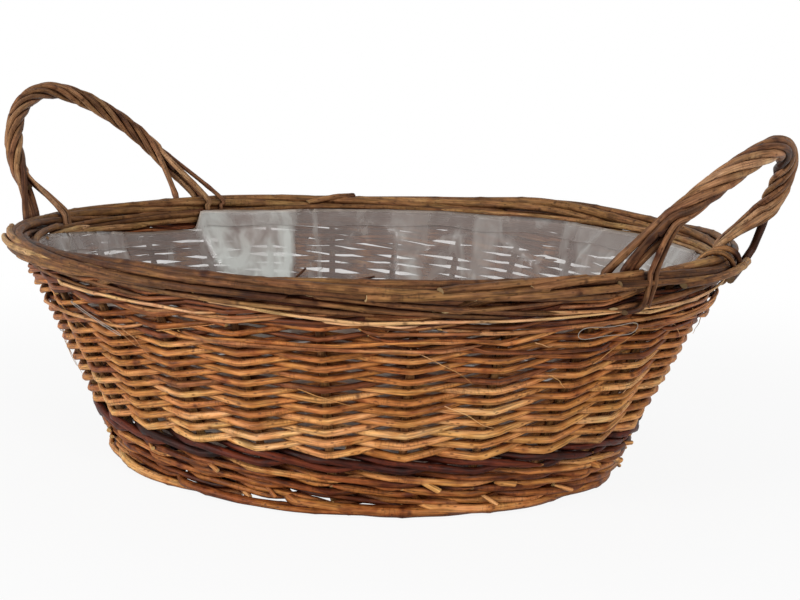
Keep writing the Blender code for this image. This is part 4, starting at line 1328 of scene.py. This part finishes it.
# Each loop: how far it is moved along the wall and up, how slack it is, and its slope
LOOPS = {"right": (6.0 * MM, 5.0 * MM, 3.6 * MM, 0.0), "left": (0.0, 0.0, 1.0 * MM, -0.35)}
for side, (moved, raised, slack, slope) in LOOPS.items():
    low, high = corners(f"liner_tie_{side}")
    middle = (low + high) / 2
    turn = math.atan2(middle[1] / HALF_WIDTH, (middle[0] - CENTRE_X) / HALF_LENGTH)
    around = np.linspace(0.0, math.tau, 90)
    slide = 20.0 * MM * np.cos(around) + moved
    height = middle[2] + raised + slack * (np.sin(around) + 0.3 * np.sin(3 * around)) + slope * slide
    thread = Rods()
    thread.add(wall(turn + slide / metres_per_radian(turn), height, 8.2 * MM), 0.17 * MM, 0.17 * MM, 0.5,
               sides=6, buds=False)
    thread.piece(f"liner_tie_{side}_thread", nylon, "thread", f"liner_tie_{side}")

# %% [markdown]
# ## Floor, light and camera
#
# The basket stands on a plain white floor in soft studio light: a softbox at the front left,
# a weaker one at the right, a faint one above, and a pale world. The floor keeps the shadow.
# Seen by the camera it also glows a little, so that it fades into the white background with
# no horizon.


# %% Floor and world
def plainly_seen(tree):
    """1 for what the camera sees itself, in a gloss or through a clear thing."""
    rays = add(tree, "LightPath")
    seen = add(tree, "Math", {0: rays.outputs["Is Camera Ray"], 1: rays.outputs["Is Glossy Ray"]},
               operation="MAXIMUM")
    return add(tree, "Math", {0: seen, 1: rays.outputs["Is Transmission Ray"]}, operation="MAXIMUM")


FLOOR_HALF = 4.0
floor_mesh = bpy.data.meshes.new("studio_floor")
floor_corners = [(x * FLOOR_HALF, y * FLOOR_HALF, 0.0) for x, y in ((-1, -1), (1, -1), (1, 1), (-1, 1))]
floor_mesh.from_pydata(floor_corners, [], [(0, 1, 2, 3)])
floor = put("studio_floor", floor_mesh)
paper, tree, shader = new_material("white_paper_sweep")
shader.inputs["Base Color"].default_value = linear("#DADADA")
shader.inputs["Roughness"].default_value = 0.9
glow = add(tree, "Emission", {"Strength": 1.0})
# Near the basket the glow is held back, so that the shadow shows. Further out it is whole
distance = add(tree, "VectorMath", {0: add(tree, "TexCoord").outputs["Object"]}, operation="LENGTH")
fade = add(tree, "MapRange", {0: distance, 1: 0.25, 2: 0.80, 3: 0.91, 4: 1.0},
           interpolation_type="SMOOTHSTEP")
part = add(tree, "Math", {0: plainly_seen(tree), 1: fade}, operation="MULTIPLY")
mixed = add(tree, "MixShader", {0: part, 1: shader, 2: glow})
tree.links.new(mixed.outputs[0], tree.nodes["Material Output"].inputs["Surface"])
floor_mesh.materials.append(paper)

world = bpy.data.worlds.new("studio_world")
bpy.context.scene.world = world
world.use_nodes = True
tree = world.node_tree
tree.nodes.clear()
soft = add(tree, "Background", {"Color": WHITE, "Strength": 0.24})
white = add(tree, "Background", {"Color": WHITE, "Strength": 1.0})
mixed = add(tree, "MixShader", {0: plainly_seen(tree), 1: soft, 2: white})
add(tree, "OutputWorld", {"Surface": mixed})
print("floor", paper.name, "under", world.name)


# %% Lights
def soft_light(name, place, aim_height, size, power):
    """A softbox that points at the middle of the basket, at a height."""
    lamp = bpy.data.lights.new(name, "AREA")
    lamp.shape = "RECTANGLE"
    lamp.size, lamp.size_y = size
    lamp.energy = power
    back = unit(np.array(place) - np.array([0.0, 0.0, aim_height]))
    side = unit(np.cross((0.0, 0.0, 1.0), back))
    axes = Matrix(np.stack([side, np.cross(back, side), back], axis=1)).to_4x4()
    put(name, lamp).matrix_world = Matrix.Translation(place) @ axes
    print(name, "of", size, "m and", power, "W")


soft_light("left_softbox", (-0.78, -1.72, 0.48), 0.08, (1.0, 0.8), 32.5)
soft_light("right_softbox", (1.70, -0.95, 0.60), 0.08, (0.9, 0.8), 27.0)
soft_light("top_softbox", (-0.2, 0.3, 2.0), 0.10, (1.4, 1.0), 5.2)

# %% Camera
# Its place, the way it looks and its lens were fitted to the rim, the waist and the foot
CAMERA_PLACE = (0.5744, -0.7730, 0.2515)
HEADING = math.radians(125.05)
TILT = math.radians(9.33)
ROLL = math.radians(-0.676)
forward = np.array([math.cos(HEADING) * math.cos(TILT), math.sin(HEADING) * math.cos(TILT), -math.sin(TILT)])
right = np.array([math.sin(HEADING), -math.cos(HEADING), 0.0])
above = np.cross(right, forward)
rolled_right = right * math.cos(ROLL) - above * math.sin(ROLL)
rolled_above = right * math.sin(ROLL) + above * math.cos(ROLL)
camera_data = bpy.data.cameras.new("camera")
camera_data.sensor_width = 36.0
camera_data.lens = 70.67
camera = put("camera", camera_data)
axes = Matrix(np.stack([rolled_right, rolled_above, -forward], axis=1)).to_4x4()
camera.matrix_world = Matrix.Translation(CAMERA_PLACE) @ axes
bpy.context.scene.camera = camera
print("camera", CAMERA_PLACE, "lens", camera_data.lens)

# %% Colour
bpy.context.scene.view_settings.view_transform = "Standard"
